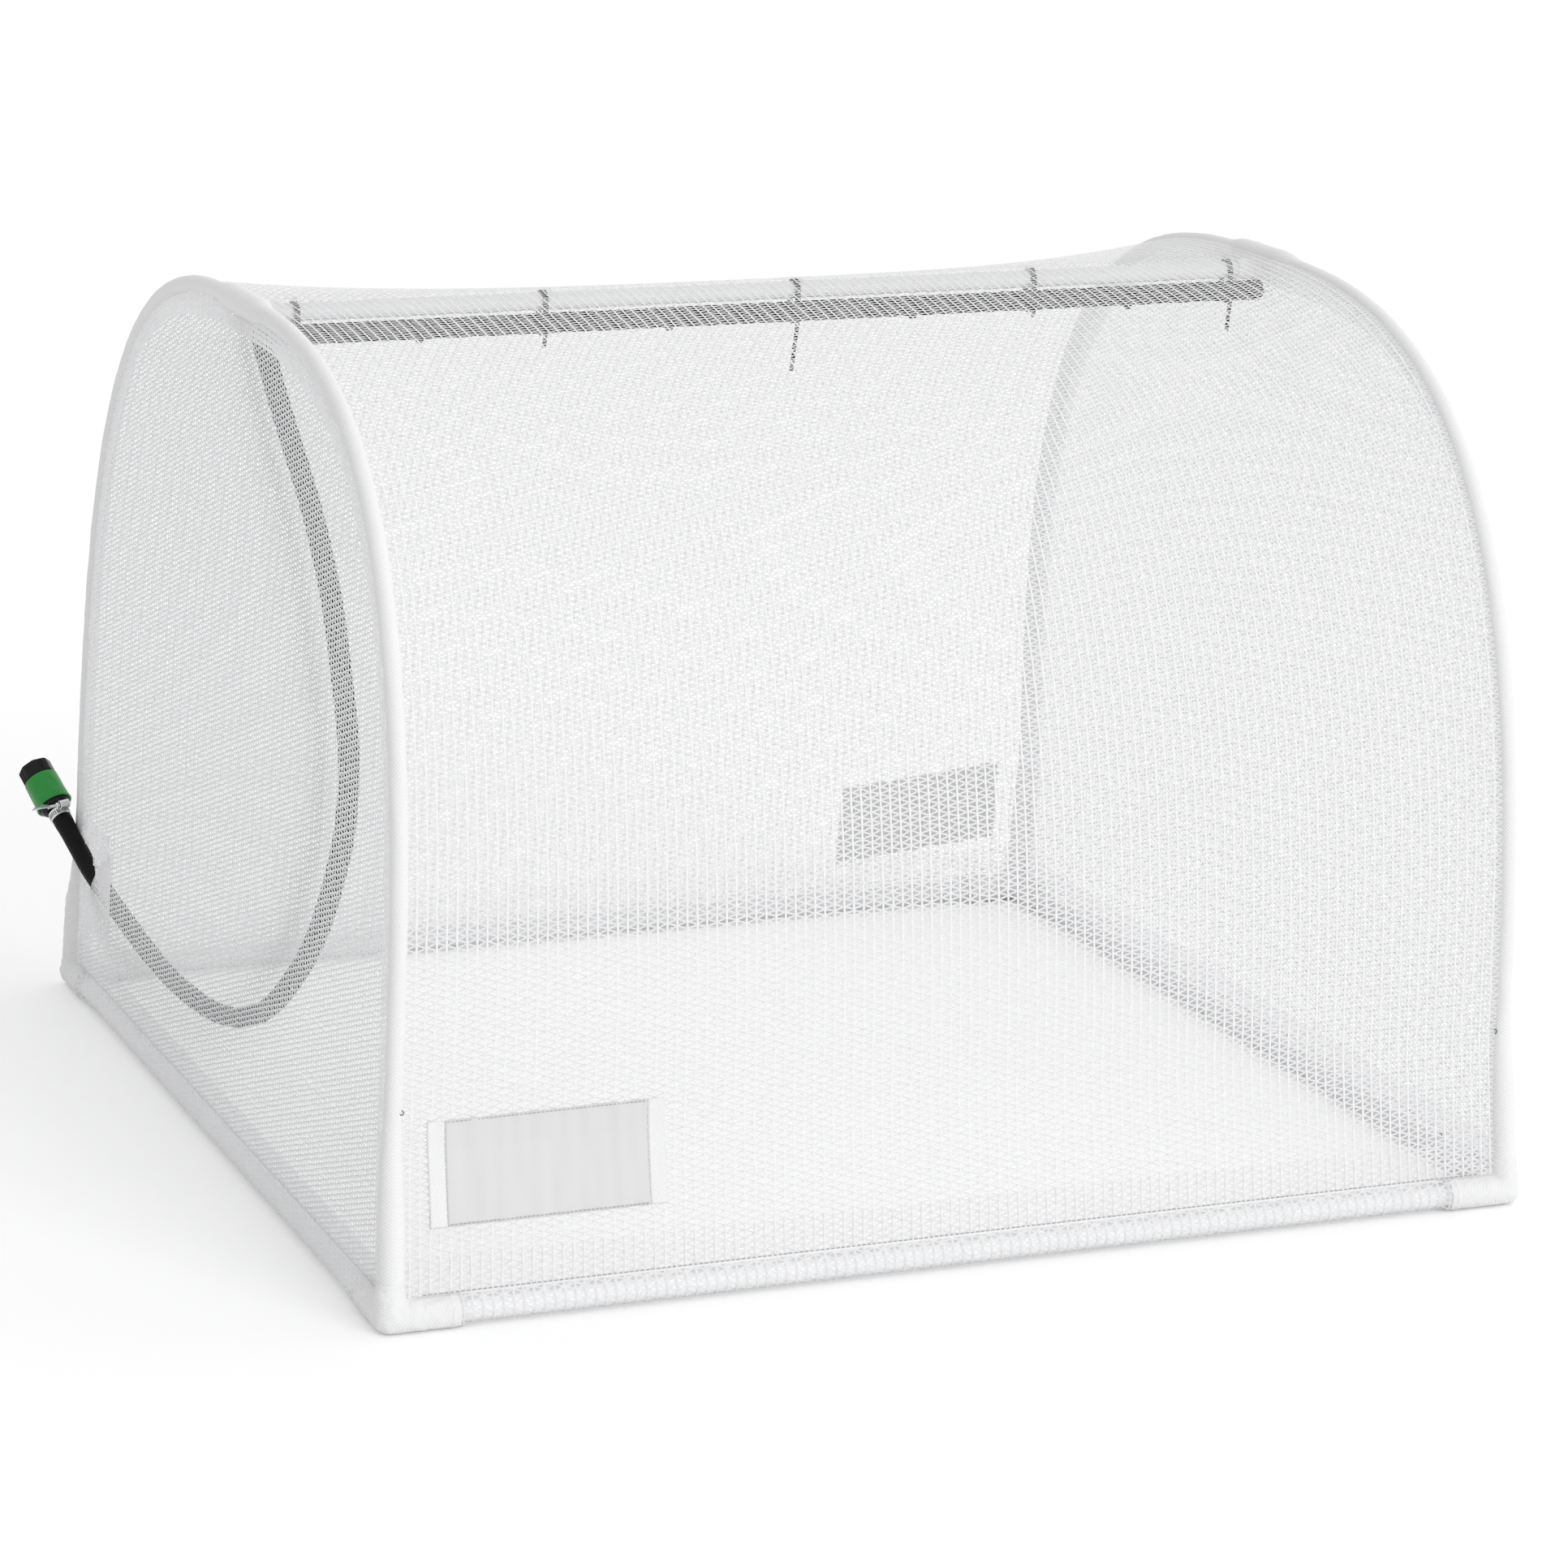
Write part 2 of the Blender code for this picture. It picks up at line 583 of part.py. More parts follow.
def net_runs():
    """The grid's lines up one side as (run, whether openings follow), from hem to crown.

    Only the lowest bar, at the hoop's knee, has a line to bend on.
    """
    half = stations(run_at_height(HEM_BOTTOM), CROWN_RUN)
    bars = half[NET_FIRST_BAR:NET_LAST_BAR + 1:NET_BAR_STEP]
    lines = [(half[0], False), (half[0] + HEM_TAPE_HEIGHT, True)]
    for run in half[1:-1]:
        if run in bars:
            bend = [(run, False)] if run == bars[0] else []
            lines += [(run - NET_BAR / 2, False)] + bend + [(run + NET_BAR / 2, True)]
        else:
            lines.append((run, True))
    return lines + [(CROWN_RUN - NET_BAR / 2, False), (CROWN_RUN, False)]


def make_mesh_sheet():
    """One knitted sheet over the hoops. A plain grid of openings stands for its mesh."""
    half = net_runs()
    lines = [(-1, run) for run, opens in half] + [(1, run) for run, opens in half[-2::-1]]
    half_opens = [opens for run, opens in half[:-1]]
    row_opens = half_opens + half_opens[::-1]
    mesh_data = bmesh.new()
    outside, inside = [[[mesh_data.verts.new(point) for point in sheet_line(end, run, out)]
                        for end, run in lines] for out in (FABRIC / 2, -FABRIC / 2)]
    opposite = {near: far for near_line, far_line in zip(outside, inside)
                for near, far in zip(near_line, far_line)}
    for i, opens in enumerate(row_opens):
        for j in range(2 * NET_COLUMNS + 1):
            if opens and j % 2:
                continue
            for layer in (outside, inside):
                corners = layer[i][j], layer[i][j + 1], layer[i + 1][j + 1], layer[i + 1][j]
                mesh_data.faces.new(corners)
    for rim in [edge for edge in mesh_data.edges if edge.is_boundary and edge.verts[0] in opposite]:
        start, stop = rim.verts
        mesh_data.faces.new((start, stop, opposite[stop], opposite[start]))
    make_object("mesh_sheet", mesh_data, WHITE_MESH)


def panel_patch(name, side, outline, out, finish, thickness=FABRIC):
    """A flat closed skin in the plane of an end panel, from an outline of (y, z)."""
    def layer(offset):
        stand_out = side * (PANEL_OUTSIDE_HOOP + out + offset)
        return [Vector((hoop_x(side, z) + stand_out, y, z)) for y, z in outline]
    return loft(name, [layer(thickness / 2), layer(-thickness / 2)], finish)


def make_hem_tapes():
    """The doubled band inside the hem above each pocket."""
    inside = -FABRIC - FABRIC_GAP
    bottom, top = HEM_BOTTOM + FABRIC_GAP, HEM_BOTTOM + HEM_TAPE_HEIGHT
    low, high = run_at_height(bottom), run_at_height(top)
    reach = HALF_WIDTH - WIDE_SLEEVE_RADIUS - 3 * FABRIC_GAP
    for end, name in ((-1, "front"), (1, "rear")):
        rows = [(end, run, -reach, reach) for run in (low, high)]
        sheet_strip(f"hem_tape_{name}", BAND_COLUMNS, rows, inside, WHITE_TAPE)
    depth = hoop_point(high).x - WIDE_SLEEVE_RADIUS - 2 * FABRIC_GAP
    outline = [(-depth, bottom), (depth, bottom), (depth, top), (-depth, top)]
    for side, name in ((-1, "left"), (1, "right")):
        panel_patch(f"hem_tape_{name}", side, outline, inside, WHITE_TAPE)


def panel_outline():
    """The arch just inside the sleeve, closed along the hem."""
    half = []
    for run in stations(run_at_height(HEM_BOTTOM), CROWN_RUN):
        place = hoop_point(run) - hoop_outward(run) * (sleeve_radius(run) + FABRIC_GAP)
        half.append((place.x, max(place.y, HEM_BOTTOM)))
    front = [(-y, z) for y, z in half]
    return front + half[-2::-1]


CONNECTOR_AXIS = Vector(CONNECTOR_LINE).normalized()
ELBOW_CORNER = Vector((crown(-1).x + ELBOW_FROM_LEFT_HOOP, 0, HOSE_HEIGHT))
DROP_LINE = Vector(DROP_LINE_START).normalized()
HOSE_POINTS = [Vector((x - HALF_WIDTH, y, z)) for x, y, z in HOSE_ROUTE]


def smooth_route(points, start_line, end_line):
    """A smooth curve through chosen points, with a few places in each gap."""
    slopes = [start_line * (points[1] - points[0]).length]
    slopes += [(after - before) / 2 for before, after in zip(points, points[2:])]
    slopes.append(end_line * (points[-1] - points[-2]).length)
    places = []
    for i in range(len(points) - 1):
        start_handle = points[i] + slopes[i] / 3
        end_handle = points[i + 1] - slopes[i + 1] / 3
        span = interpolate_bezier(points[i], start_handle, end_handle, points[i + 1], ROUTE_STEPS + 1)
        places += span[:-1]
    places.append(points[-1])
    return places


CURVED_ROUTE = smooth_route(HOSE_POINTS, DROP_LINE, CONNECTOR_AXIS)
HOSE_START = ELBOW_CORNER + ELBOW_DROP_ARM * DROP_LINE
HOSE_END = CURVED_ROUTE[-1] + STRAIGHT_HOSE_END * CONNECTOR_AXIS
STRAIGHT_ROUTE = [CURVED_ROUTE[-1].lerp(HOSE_END, share) for share in (1 / 3, 2 / 3, 1.0)]
ROUTE = [HOSE_START] + CURVED_ROUTE + STRAIGHT_ROUTE


def route_part(first_point, spans):
    """A stretch of the curved route, from one of its chosen points onward."""
    start = (first_point - 1) * ROUTE_STEPS
    return CURVED_ROUTE[start:start + round(spans * ROUTE_STEPS) + 1]


def hose_frames(passage, across):
    """A placement at each place on a stretch of hose, looking along it."""
    last = len(passage) - 1
    return [aim(point, passage[min(i + 1, last)] - passage[max(i - 1, 0)], across)
            for i, point in enumerate(passage)]


def panel_openings(side):
    """The cells of a plain grid that fit inside the arch, clear of the left end's slit."""
    first = HEM_BOTTOM + HEM_TAPE_HEIGHT
    rows = int((HOOP_HEIGHT - first) / PANEL_CELL_HEIGHT)
    slit = HOSE_POINTS[-1].yz
    outlines = []
    for row in range(rows):
        low = first + row * PANEL_CELL_HEIGHT
        high = low + PANEL_CELL_HEIGHT - NET_BAR
        reach = hoop_point(run_at_height(high)).x - WIDE_SLEEVE_RADIUS - PANEL_RIM
        for column in range(-NET_COLUMNS // 2, NET_COLUMNS // 2):
            front = column * PANEL_CELL_WIDTH + NET_BAR / 2
            rear = front + PANEL_CELL_WIDTH - NET_BAR
            nearest = Vector((min(max(slit.x, front), rear), min(max(slit.y, low), high)))
            at_slit = side < 0 and (nearest - slit).length < SLIT_RIM
            if max(-front, rear) < reach and not at_slit:
                outlines.append([(front, low), (rear, low), (rear, high), (front, high)])
    return outlines


def make_end_panels():
    """The two D-shaped ends, with a plain grid of openings that stands for their mesh.

    The left one also has the slit that the hose comes out of.
    """
    right, left = [panel_patch(f"end_panel_{side_name}", side, panel_outline(), 0.0, WHITE_MESH)
                   for side, side_name in ((1, "right"), (-1, "left"))]
    for panel, side, side_name in ((right, 1, "right"), (left, -1, "left")):
        for number, outline in enumerate(panel_openings(side), 1):
            hole = panel_patch(f"cutter_opening_{side_name}_{number}", side, outline, 0.0,
                               WHITE_MESH, thickness=CUT_PAST)
            boolean(panel, hole, "DIFFERENCE")
    passage = route_part(SLIT_START, len(HOSE_POINTS) - SLIT_START) + STRAIGHT_ROUTE[:-1]
    radius = HOSE_RADIUS + 3 * FABRIC_GAP + FABRIC
    rings = [circle(place.translation, place.col[0].xyz, place.col[1].xyz, radius, SMALL_SIDES)
             for place in hose_frames(passage, (1, 0, 0))]
    boolean(left, loft("cutter_hose_slit", rings, WHITE_MESH), "DIFFERENCE")


def make_slit_flap():
    """The lip of the slit: a strip of close fabric drawn half way round the hose."""
    inner = HOSE_RADIUS + FABRIC_GAP
    outer = inner + FABRIC
    angles = [radians(FLAP_HALF_TURN) * (i / 4 - 1) for i in range(9)]
    rings = []
    for place in hose_frames(route_part(FLAP_START, FLAP_SPANS), (-1, 0, 0)):
        spokes = [cos(a) * place.col[0].xyz + sin(a) * place.col[1].xyz for a in angles]
        rings.append([place.translation + outer * spoke for spoke in spokes]
                     + [place.translation + inner * spoke for spoke in spokes[::-1]])
    loft("slit_flap", rings, WHITE_TAPE)


def make_label(name, end, left, right, bottom, height, finish):
    """One sewn patch on the outside of the main sheet."""
    low, high = run_at_height(bottom), run_at_height(bottom + height)
    rows = [(end, run, left, right) for run in stations(low, high)]
    sheet_strip(name, LABEL_COLUMNS, rows, FABRIC + 2 * FABRIC_GAP, finish)


def make_labels():
    """Bare labels: one on the front with a tape down each side, and one at the rear."""
    left = -HALF_WIDTH + LABEL_FROM_CORNER
    right = left + LABEL_WIDTH
    make_label("front_label", -1, left, right, LABEL_BOTTOM, LABEL_HEIGHT, GREY_LABEL)
    make_label("label_tape_left", -1, left - LABEL_TAPE_WIDTH, left - FABRIC_GAP,
               LABEL_BOTTOM, LABEL_HEIGHT, WHITE_TAPE)
    make_label("label_tape_right", -1, right + FABRIC_GAP, right + LABEL_TAPE_WIDTH,
               LABEL_BOTTOM, LABEL_HEIGHT, WHITE_TAPE)
    rear_right = HALF_WIDTH - REAR_LABEL_FROM_CORNER
    make_label("rear_label", 1, rear_right - REAR_LABEL_WIDTH, rear_right,
               REAR_LABEL_BOTTOM, REAR_LABEL_HEIGHT, GREY_LABEL)


def tie_places():
    """The ties' places along the pole: evenly spread, each slipped a little."""
    first = crown(-1).x + TIE_FROM_LEFT_HOOP
    last = crown(1).x - TIE_FROM_RIGHT_HOOP
    step = (last - first) / (len(TIE_SLIPS) - 1)
    return [first + step * i + slip for i, slip in enumerate(TIE_SLIPS)]


MIST_HOSE_LEFT = Vector((crown(-1).x + MIST_HOSE_FROM_LEFT_HOOP, 0, HOSE_HEIGHT))
MIST_HOSE_RIGHT = Vector((crown(1).x - MIST_HOSE_FROM_RIGHT_HOOP, 0, HOSE_HEIGHT))


def make_mist_hose():
    """A straight hose under the pole, with a jet between ties and a plug in its far end."""
    length = (MIST_HOSE_RIGHT - MIST_HOSE_LEFT).length
    hose = rod("mist_hose", HOSE_RADIUS, 0.0, length, aim(MIST_HOSE_LEFT, (1, 0, 0)),
               BLACK_HOSE, TUBE_SIDES)
    lip = HOSE_RADIUS + PLUG_LIP
    turned("hose_end_plug",
           [(lip, SOCKET_GAP), (lip, PLUG_LENGTH - PLUG_CHAMFER), (lip - PLUG_CHAMFER, PLUG_LENGTH)],
           aim(MIST_HOSE_RIGHT, (1, 0, 0)), BLACK_PLASTIC, TUBE_SIDES, hollow=False)
    places = tie_places()
    for number, (before, after) in enumerate(zip(places, places[1:]), 1):
        top = Vector(((before + after) / 2, 0, HOSE_HEIGHT - HOSE_RADIUS + JET_STEM))
        place = aim(top, (0, 0, -1))
        turned(f"mist_jet_{number}",
               [(JET_STEM_RADIUS, SOCKET_GAP), (JET_STEM_RADIUS, JET_STEM - SOCKET_GAP),
                (JET_RADIUS, JET_STEM), (JET_RADIUS, JET_STEM + JET_HEIGHT - JET_BEVEL),
                (JET_RADIUS - JET_BEVEL, JET_STEM + JET_HEIGHT)],
               place, BLACK_PLASTIC, SMALL_SIDES, hollow=False)
        hole = rod(f"cutter_jet_{number}", JET_RADIUS + SOCKET_GAP, 0.0, JET_STEM + CUT_PAST,
                   place, BLACK_HOSE, SMALL_SIDES)
        boolean(hose, hole, "DIFFERENCE")


def make_hose_elbow():
    """An elbow that turns the water line from the ridge down into the drop hose."""
    mist_arm = MIST_HOSE_LEFT - ELBOW_CORNER
    drop_arm = HOSE_START - ELBOW_CORNER
    elbow = rod("hose_elbow", BARB_RADIUS, 0.0, mist_arm.length - SOCKET_GAP,
                aim(ELBOW_CORNER, mist_arm), BLACK_PLASTIC, TUBE_SIDES)
    other = rod("cutter_drop_arm", BARB_RADIUS, 0.0, drop_arm.length - SOCKET_GAP,
                aim(ELBOW_CORNER, drop_arm), BLACK_PLASTIC, TUBE_SIDES)
    boolean(elbow, other, "UNION")
    knuckle = ball("cutter_knuckle", ELBOW_CORNER, KNUCKLE_RADIUS, BLACK_PLASTIC, SMALL_SIDES)
    boolean(elbow, knuckle, "UNION")


def tie_outline(offset):
    """The belt round the pole and the hose, as points in depth and height."""
    top, bottom = POLE_RADIUS + offset, HOSE_RADIUS + offset
    lean = (top - bottom) / HOSE_UNDER_POLE
    points = []
    for i in range(TIE_STEPS + 1):
        angle = -lean + (pi + 2 * lean) * i / TIE_STEPS
        points.append((top * cos(angle), POLE_HEIGHT + top * sin(angle)))
    for i in range(TIE_STEPS + 1):
        angle = pi + lean + (pi - 2 * lean) * i / TIE_STEPS
        points.append((bottom * cos(angle), HOSE_HEIGHT + bottom * sin(angle)))
    return points


def make_cable_ties():
    """Ties round pole and hose, each with its head low on the front and a cut tail."""
    inner = tie_outline(TIE_GAP)
    outer = tie_outline(TIE_GAP + TIE_THICKNESS)
    head_half = Vector(TIE_HEAD) / 2
    for number, (x, tail) in enumerate(zip(tie_places(), TIE_TAILS), 1):
        left, right = x - TIE_WIDTH / 2, x + TIE_WIDTH / 2
        rings = [[Vector((left, *a)), Vector((right, *a)), Vector((right, *b)), Vector((left, *b))]
                 for a, b in zip(outer, inner)]
        tie = loft(f"cable_tie_{number}", rings, BLACK_PLASTIC, closed=True)
        head = Vector((x, -HOSE_RADIUS - TIE_HEAD_OUT, HOSE_HEIGHT - TIE_HEAD_DROP))
        lock = box(f"cutter_tie_head_{number}", head - head_half, head + head_half, BLACK_PLASTIC)
        boolean(tie, lock, "UNION")
        strip_half = Vector((TIE_TAIL_WIDTH, TIE_THICKNESS, 0)) / 2
        strip = box(f"cutter_tie_tail_{number}", -strip_half, strip_half + Vector((0, 0, tail)),
                    BLACK_PLASTIC, aim(head, TIE_TAIL_LINE, (1, 0, 0)))
        boolean(tie, strip, "UNION")


def make_drop_hose():
    """The flexible hose from the elbow down to the quick connector."""
    curve = bpy.data.curves.new("drop_hose", "CURVE")
    curve.dimensions = "3D"
    curve.bevel_depth = HOSE_RADIUS
    curve.bevel_resolution = 2
    curve.use_fill_caps = True
    spline = curve.splines.new("POLY")
    spline.points.add(len(ROUTE) - 1)
    for target, place in zip(spline.points, ROUTE):
        target.co = (*place, 1.0)
    curve.materials.append(BLACK_HOSE)
    hose = bpy.data.objects.new("drop_hose", curve)
    bpy.context.scene.collection.objects.link(hose)


CONNECTOR_PLACE = aim(HOSE_END, CONNECTOR_AXIS, CLAMP_SCREW_SIDE)
COLLAR_END = COLLAR_START + COLLAR_LENGTH
ADAPTOR_START = COLLAR_END + ADAPTOR_GAP
ADAPTOR_TOP = ADAPTOR_START + ADAPTOR_LENGTH
SPIGOT_TIP = BODY_LENGTH + ADAPTOR_GAP - SPIGOT_LENGTH


def make_connector_body():
    """The connector's body: a dome on the hose's end, and a socket for the adaptor."""
    bore = SPIGOT_RADIUS + SPIGOT_CLEARANCE
    floor = SPIGOT_TIP - ADAPTOR_GAP
    dome = [(NECK_RADIUS + (BODY_RADIUS - NECK_RADIUS) * sin(radians(turn)),
             SOCKET_GAP + DOME_LENGTH * (1 - cos(radians(turn)))) for turn in (0, 30, 60, 90)]
    turned("connector_body",
           [(WATERWAY_RADIUS, SOCKET_GAP)] + dome
           + [(BODY_RADIUS, BODY_LENGTH), (bore, BODY_LENGTH), (bore, floor),
              (WATERWAY_RADIUS, floor)], CONNECTOR_PLACE, BLACK_PLASTIC, CONNECTOR_SIDES)


def make_release_collar():
    """The sleeve that is pulled back towards the hose to let the adaptor go."""
    bore = BODY_RADIUS + COLLAR_CLEARANCE
    turned("release_collar",
           [(bore, COLLAR_START), (COLLAR_LOW_RADIUS - COLLAR_EDGE, COLLAR_START),
            (COLLAR_LOW_RADIUS, COLLAR_START + COLLAR_EDGE),
            (COLLAR_TOP_RADIUS, COLLAR_END - COLLAR_EDGE),
            (COLLAR_TOP_RADIUS - COLLAR_EDGE / 2, COLLAR_END), (bore, COLLAR_END)],
           CONNECTOR_PLACE, GREEN_PLASTIC, CONNECTOR_SIDES)


def make_tap_adaptor():
    """The threaded cap for a tap, its grooved spigot, the spigot's seal and the washer."""
    groove = SPIGOT_TIP + GROOVE_FROM_TIP
    groove_end = groove + GROOVE_WIDTH
    groove_radius = SPIGOT_RADIUS - GROOVE_DEPTH
    thread_floor = ADAPTOR_TOP - TAP_THREAD_DEPTH
    turned("tap_adaptor",
           [(WATERWAY_RADIUS, SPIGOT_TIP), (SPIGOT_RADIUS, SPIGOT_TIP), (SPIGOT_RADIUS, groove),
            (groove_radius, groove), (groove_radius, groove_end), (SPIGOT_RADIUS, groove_end),
            (SPIGOT_RADIUS, ADAPTOR_START), (ADAPTOR_RADIUS - ADAPTOR_FOOT_EDGE, ADAPTOR_START),
            (ADAPTOR_RADIUS, ADAPTOR_START + ADAPTOR_FOOT_EDGE),
            (ADAPTOR_RADIUS, ADAPTOR_TOP - ADAPTOR_TOP_EDGE),
            (ADAPTOR_RADIUS - ADAPTOR_TOP_EDGE, ADAPTOR_TOP), (TAP_THREAD_RADIUS, ADAPTOR_TOP),
            (TAP_THREAD_RADIUS, thread_floor), (WATERWAY_RADIUS, thread_floor)],
           CONNECTOR_PLACE, BLACK_PLASTIC, CONNECTOR_SIDES)
    ring_in, ring_out = groove_radius + SEAL_PLAY, SPIGOT_RADIUS + SPIGOT_CLEARANCE - SEAL_PLAY
    ring_low, ring_high = groove + SEAL_PLAY, groove_end - SEAL_PLAY
    turned("adaptor_o_ring",
           [(ring_in, ring_low), (ring_out, ring_low), (ring_out, ring_high), (ring_in, ring_high)],
           CONNECTOR_PLACE, BLACK_RUBBER, CONNECTOR_SIDES)
    low = thread_floor + 2 * SEAL_PLAY
    high = low + WASHER_THICKNESS
    rim = TAP_THREAD_RADIUS - 2 * SEAL_PLAY
    turned("adaptor_washer",
           [(WASHER_HOLE_RADIUS, low), (rim, low), (rim, high), (WASHER_HOLE_RADIUS, high)],
           CONNECTOR_PLACE, BLACK_RUBBER, CONNECTOR_SIDES)


CLAMP_TOP = -CLAMP_FROM_END
CLAMP_BOTTOM = CLAMP_TOP - CLAMP_BAND_WIDTH
CLAMP_OUTER_RADIUS = HOSE_RADIUS + SOCKET_GAP + CLAMP_BAND_WALL
HOUSING_MIDDLE = (CLAMP_TOP + CLAMP_BOTTOM) / 2 + SCREW_SHIFT
SCREW_PLACE = (CONNECTOR_PLACE @ Matrix.Translation((SCREW_OUT, 0, HOUSING_MIDDLE))
               @ Matrix.Rotation(pi / 2, 4, "X"))


def make_hose_clamp():
    """A worm clamp round the hose below the connector."""
    inner = HOSE_RADIUS + SOCKET_GAP
    turned("clamp_band",
           [(inner, CLAMP_BOTTOM), (CLAMP_OUTER_RADIUS, CLAMP_BOTTOM),
            (CLAMP_OUTER_RADIUS, CLAMP_TOP), (inner, CLAMP_TOP)],
           CONNECTOR_PLACE, STEEL, CONNECTOR_SIDES)
    half_width = CLAMP_BAND_WIDTH / 2 - HOUSING_INSET
    housing = box("clamp_housing",
                  (CLAMP_OUTER_RADIUS + SOCKET_GAP, -HOUSING_LENGTH / 2, HOUSING_MIDDLE - half_width),
                  (SCREW_OUT + SCREW_RADIUS + HOUSING_WALL, HOUSING_LENGTH / 2,
                   HOUSING_MIDDLE + half_width), STEEL, CONNECTOR_PLACE)
    bore = rod("cutter_screw_bore", SCREW_RADIUS + SOCKET_GAP, -HOUSING_LENGTH, HOUSING_LENGTH,
               SCREW_PLACE, STEEL, SMALL_SIDES)
    boolean(housing, bore, "DIFFERENCE")


def make_clamp_screw():
    """The clamp's screw with a flat wing to turn it by hand."""
    screw = rod("clamp_screw", SCREW_RADIUS, -SCREW_TAIL, SCREW_REACH, SCREW_PLACE, STEEL,
                SMALL_SIDES)
    wing_start = SCREW_REACH - WING_ROOT
    wing = box("cutter_wing", (-WING_THICKNESS / 2, -WING_WIDTH / 2, wing_start),
               (WING_THICKNESS / 2, WING_WIDTH / 2, wing_start + WING_LENGTH), STEEL,
               SCREW_PLACE @ Matrix.Rotation(radians(WING_TURN), 4, "Z"))
    boolean(screw, wing, "UNION")


make_rails_and_pockets()
make_elbows()
make_hoop_rods()
make_tees()
make_ridge_pole()
make_hoop_sleeves()
make_mesh_sheet()
make_end_panels()
make_slit_flap()
make_hem_tapes()
make_labels()
make_mist_hose()
make_hose_elbow()
make_cable_ties()
make_drop_hose()
make_connector_body()
make_release_collar()
make_tap_adaptor()
make_hose_clamp()
make_clamp_screw()

tap_face = CONNECTOR_PLACE @ Vector(((TAP_THREAD_RADIUS + ADAPTOR_RADIUS - ADAPTOR_TOP_EDGE) / 2,
                                     0, ADAPTOR_TOP))
thread_middle = CONNECTOR_PLACE @ Vector((0, 0, ADAPTOR_TOP - (TAP_THREAD_DEPTH - WASHER_THICKNESS) / 2))
for words, value in (("connector axis", CONNECTOR_AXIS), ("hose end", HOSE_END),
                     ("clamp screw axis", SCREW_PLACE.col[2].xyz),
                     ("clamp screw pivot", SCREW_PLACE.translation),
                     ("tap face", tap_face), ("middle of the tap's thread", thread_middle)):
    print(words, [round(number, 6) for number in value])
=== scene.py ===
from math import cos, pi, radians, sin, tau

import bmesh
import bpy
import numpy as np
from mathutils import Matrix, Quaternion, Vector, noise
from mathutils.geometry import interpolate_bezier


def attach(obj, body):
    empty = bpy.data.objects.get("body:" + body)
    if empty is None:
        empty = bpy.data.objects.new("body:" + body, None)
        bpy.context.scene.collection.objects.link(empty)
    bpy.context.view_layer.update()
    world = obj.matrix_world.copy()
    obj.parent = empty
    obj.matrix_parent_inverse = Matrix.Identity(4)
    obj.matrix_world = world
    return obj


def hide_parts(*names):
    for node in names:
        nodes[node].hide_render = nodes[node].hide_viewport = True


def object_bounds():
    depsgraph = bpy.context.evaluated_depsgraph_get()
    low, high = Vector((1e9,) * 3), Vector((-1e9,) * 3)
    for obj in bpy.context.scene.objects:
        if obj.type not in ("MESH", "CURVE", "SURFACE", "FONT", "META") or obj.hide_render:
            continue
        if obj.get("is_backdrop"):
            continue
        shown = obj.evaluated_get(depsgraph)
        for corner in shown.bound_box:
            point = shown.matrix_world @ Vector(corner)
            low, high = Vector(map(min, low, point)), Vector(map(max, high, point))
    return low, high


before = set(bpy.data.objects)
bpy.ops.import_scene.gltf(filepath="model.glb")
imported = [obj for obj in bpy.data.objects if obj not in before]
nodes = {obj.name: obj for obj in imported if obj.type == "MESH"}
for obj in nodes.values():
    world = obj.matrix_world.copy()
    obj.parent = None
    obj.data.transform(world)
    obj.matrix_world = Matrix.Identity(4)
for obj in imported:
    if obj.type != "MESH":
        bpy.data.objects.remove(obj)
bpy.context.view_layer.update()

# Camera
# A long lens at the photograph's angle: in front, to the left and a little above.
CAMERA_PLACE = Vector((-1.6605, -4.3328, 1.4547))
CAMERA_YAW = 0.3728
CAMERA_PITCH = 0.2467
CAMERA_ROLL = 0.0141
CAMERA_LENS = 121.44
SENSOR_WIDTH = 36


def put_in(piece):
    """Put a piece in the scene."""
    bpy.context.scene.collection.objects.link(piece)
    return piece


camera = put_in(bpy.data.objects.new("camera", bpy.data.cameras.new("camera")))
bpy.context.scene.camera = camera
camera.data.lens = CAMERA_LENS
camera.data.sensor_width = SENSOR_WIDTH
line_of_sight = Vector((sin(CAMERA_YAW) * cos(CAMERA_PITCH), cos(CAMERA_YAW) * cos(CAMERA_PITCH),
                        -sin(CAMERA_PITCH)))
camera.rotation_mode = "QUATERNION"
camera.rotation_quaternion = (line_of_sight.to_track_quat("-Z", "Y")
                              @ Quaternion((0, 0, 1), CAMERA_ROLL))
camera.location = CAMERA_PLACE

# Floor and light
# A pale floor in a white surround, brighter behind and to the right and darker to the left,
# and one soft lamp high at the front right. They leave the left end greyer than the front.
FLOOR_RADIUS = 40
FLOOR_SIDES = 96
FLOOR_BELOW_FEET = 0.0004
FLOOR_COLOUR = (0.92, 0.92, 0.92)
FLOOR_LIFT = 0.20
SURROUND_FRONT = 0.80
SURROUND_BEHIND = 1.0
SURROUND_LEFT = 0.52
SURROUND_RIGHT = 1.05
LEFT_RANGE = (-0.9, 0.2)
RIGHT_RANGE = (0.4, 0.9)
REAR_RANGE = (0.0, 0.7)
LAMP_LINE = (0.35, -1.0, 0.42)
LAMP_STRENGTH = 0.92
LAMP_SPREAD = 28


def feed(tree, sockets, values):
    """Link or set some of a node's inputs."""
    for socket, value in dict(values).items():
        if isinstance(value, bpy.types.NodeSocket):
            tree.links.new(value, sockets[socket])
        else:
            sockets[socket].default_value = value


def add_node(tree, kind, inputs=(), **fields):
    """Add a shader node, set its fields, and link or set its inputs."""
    made = tree.nodes.new(kind)
    for field, value in fields.items():
        setattr(made, field, value)
    feed(tree, made.inputs, inputs)
    return made


def combine(tree, operation, *values):
    """What a math node makes of one to three values."""
    return add_node(tree, "ShaderNodeMath", dict(enumerate(values)), operation=operation).outputs[0]


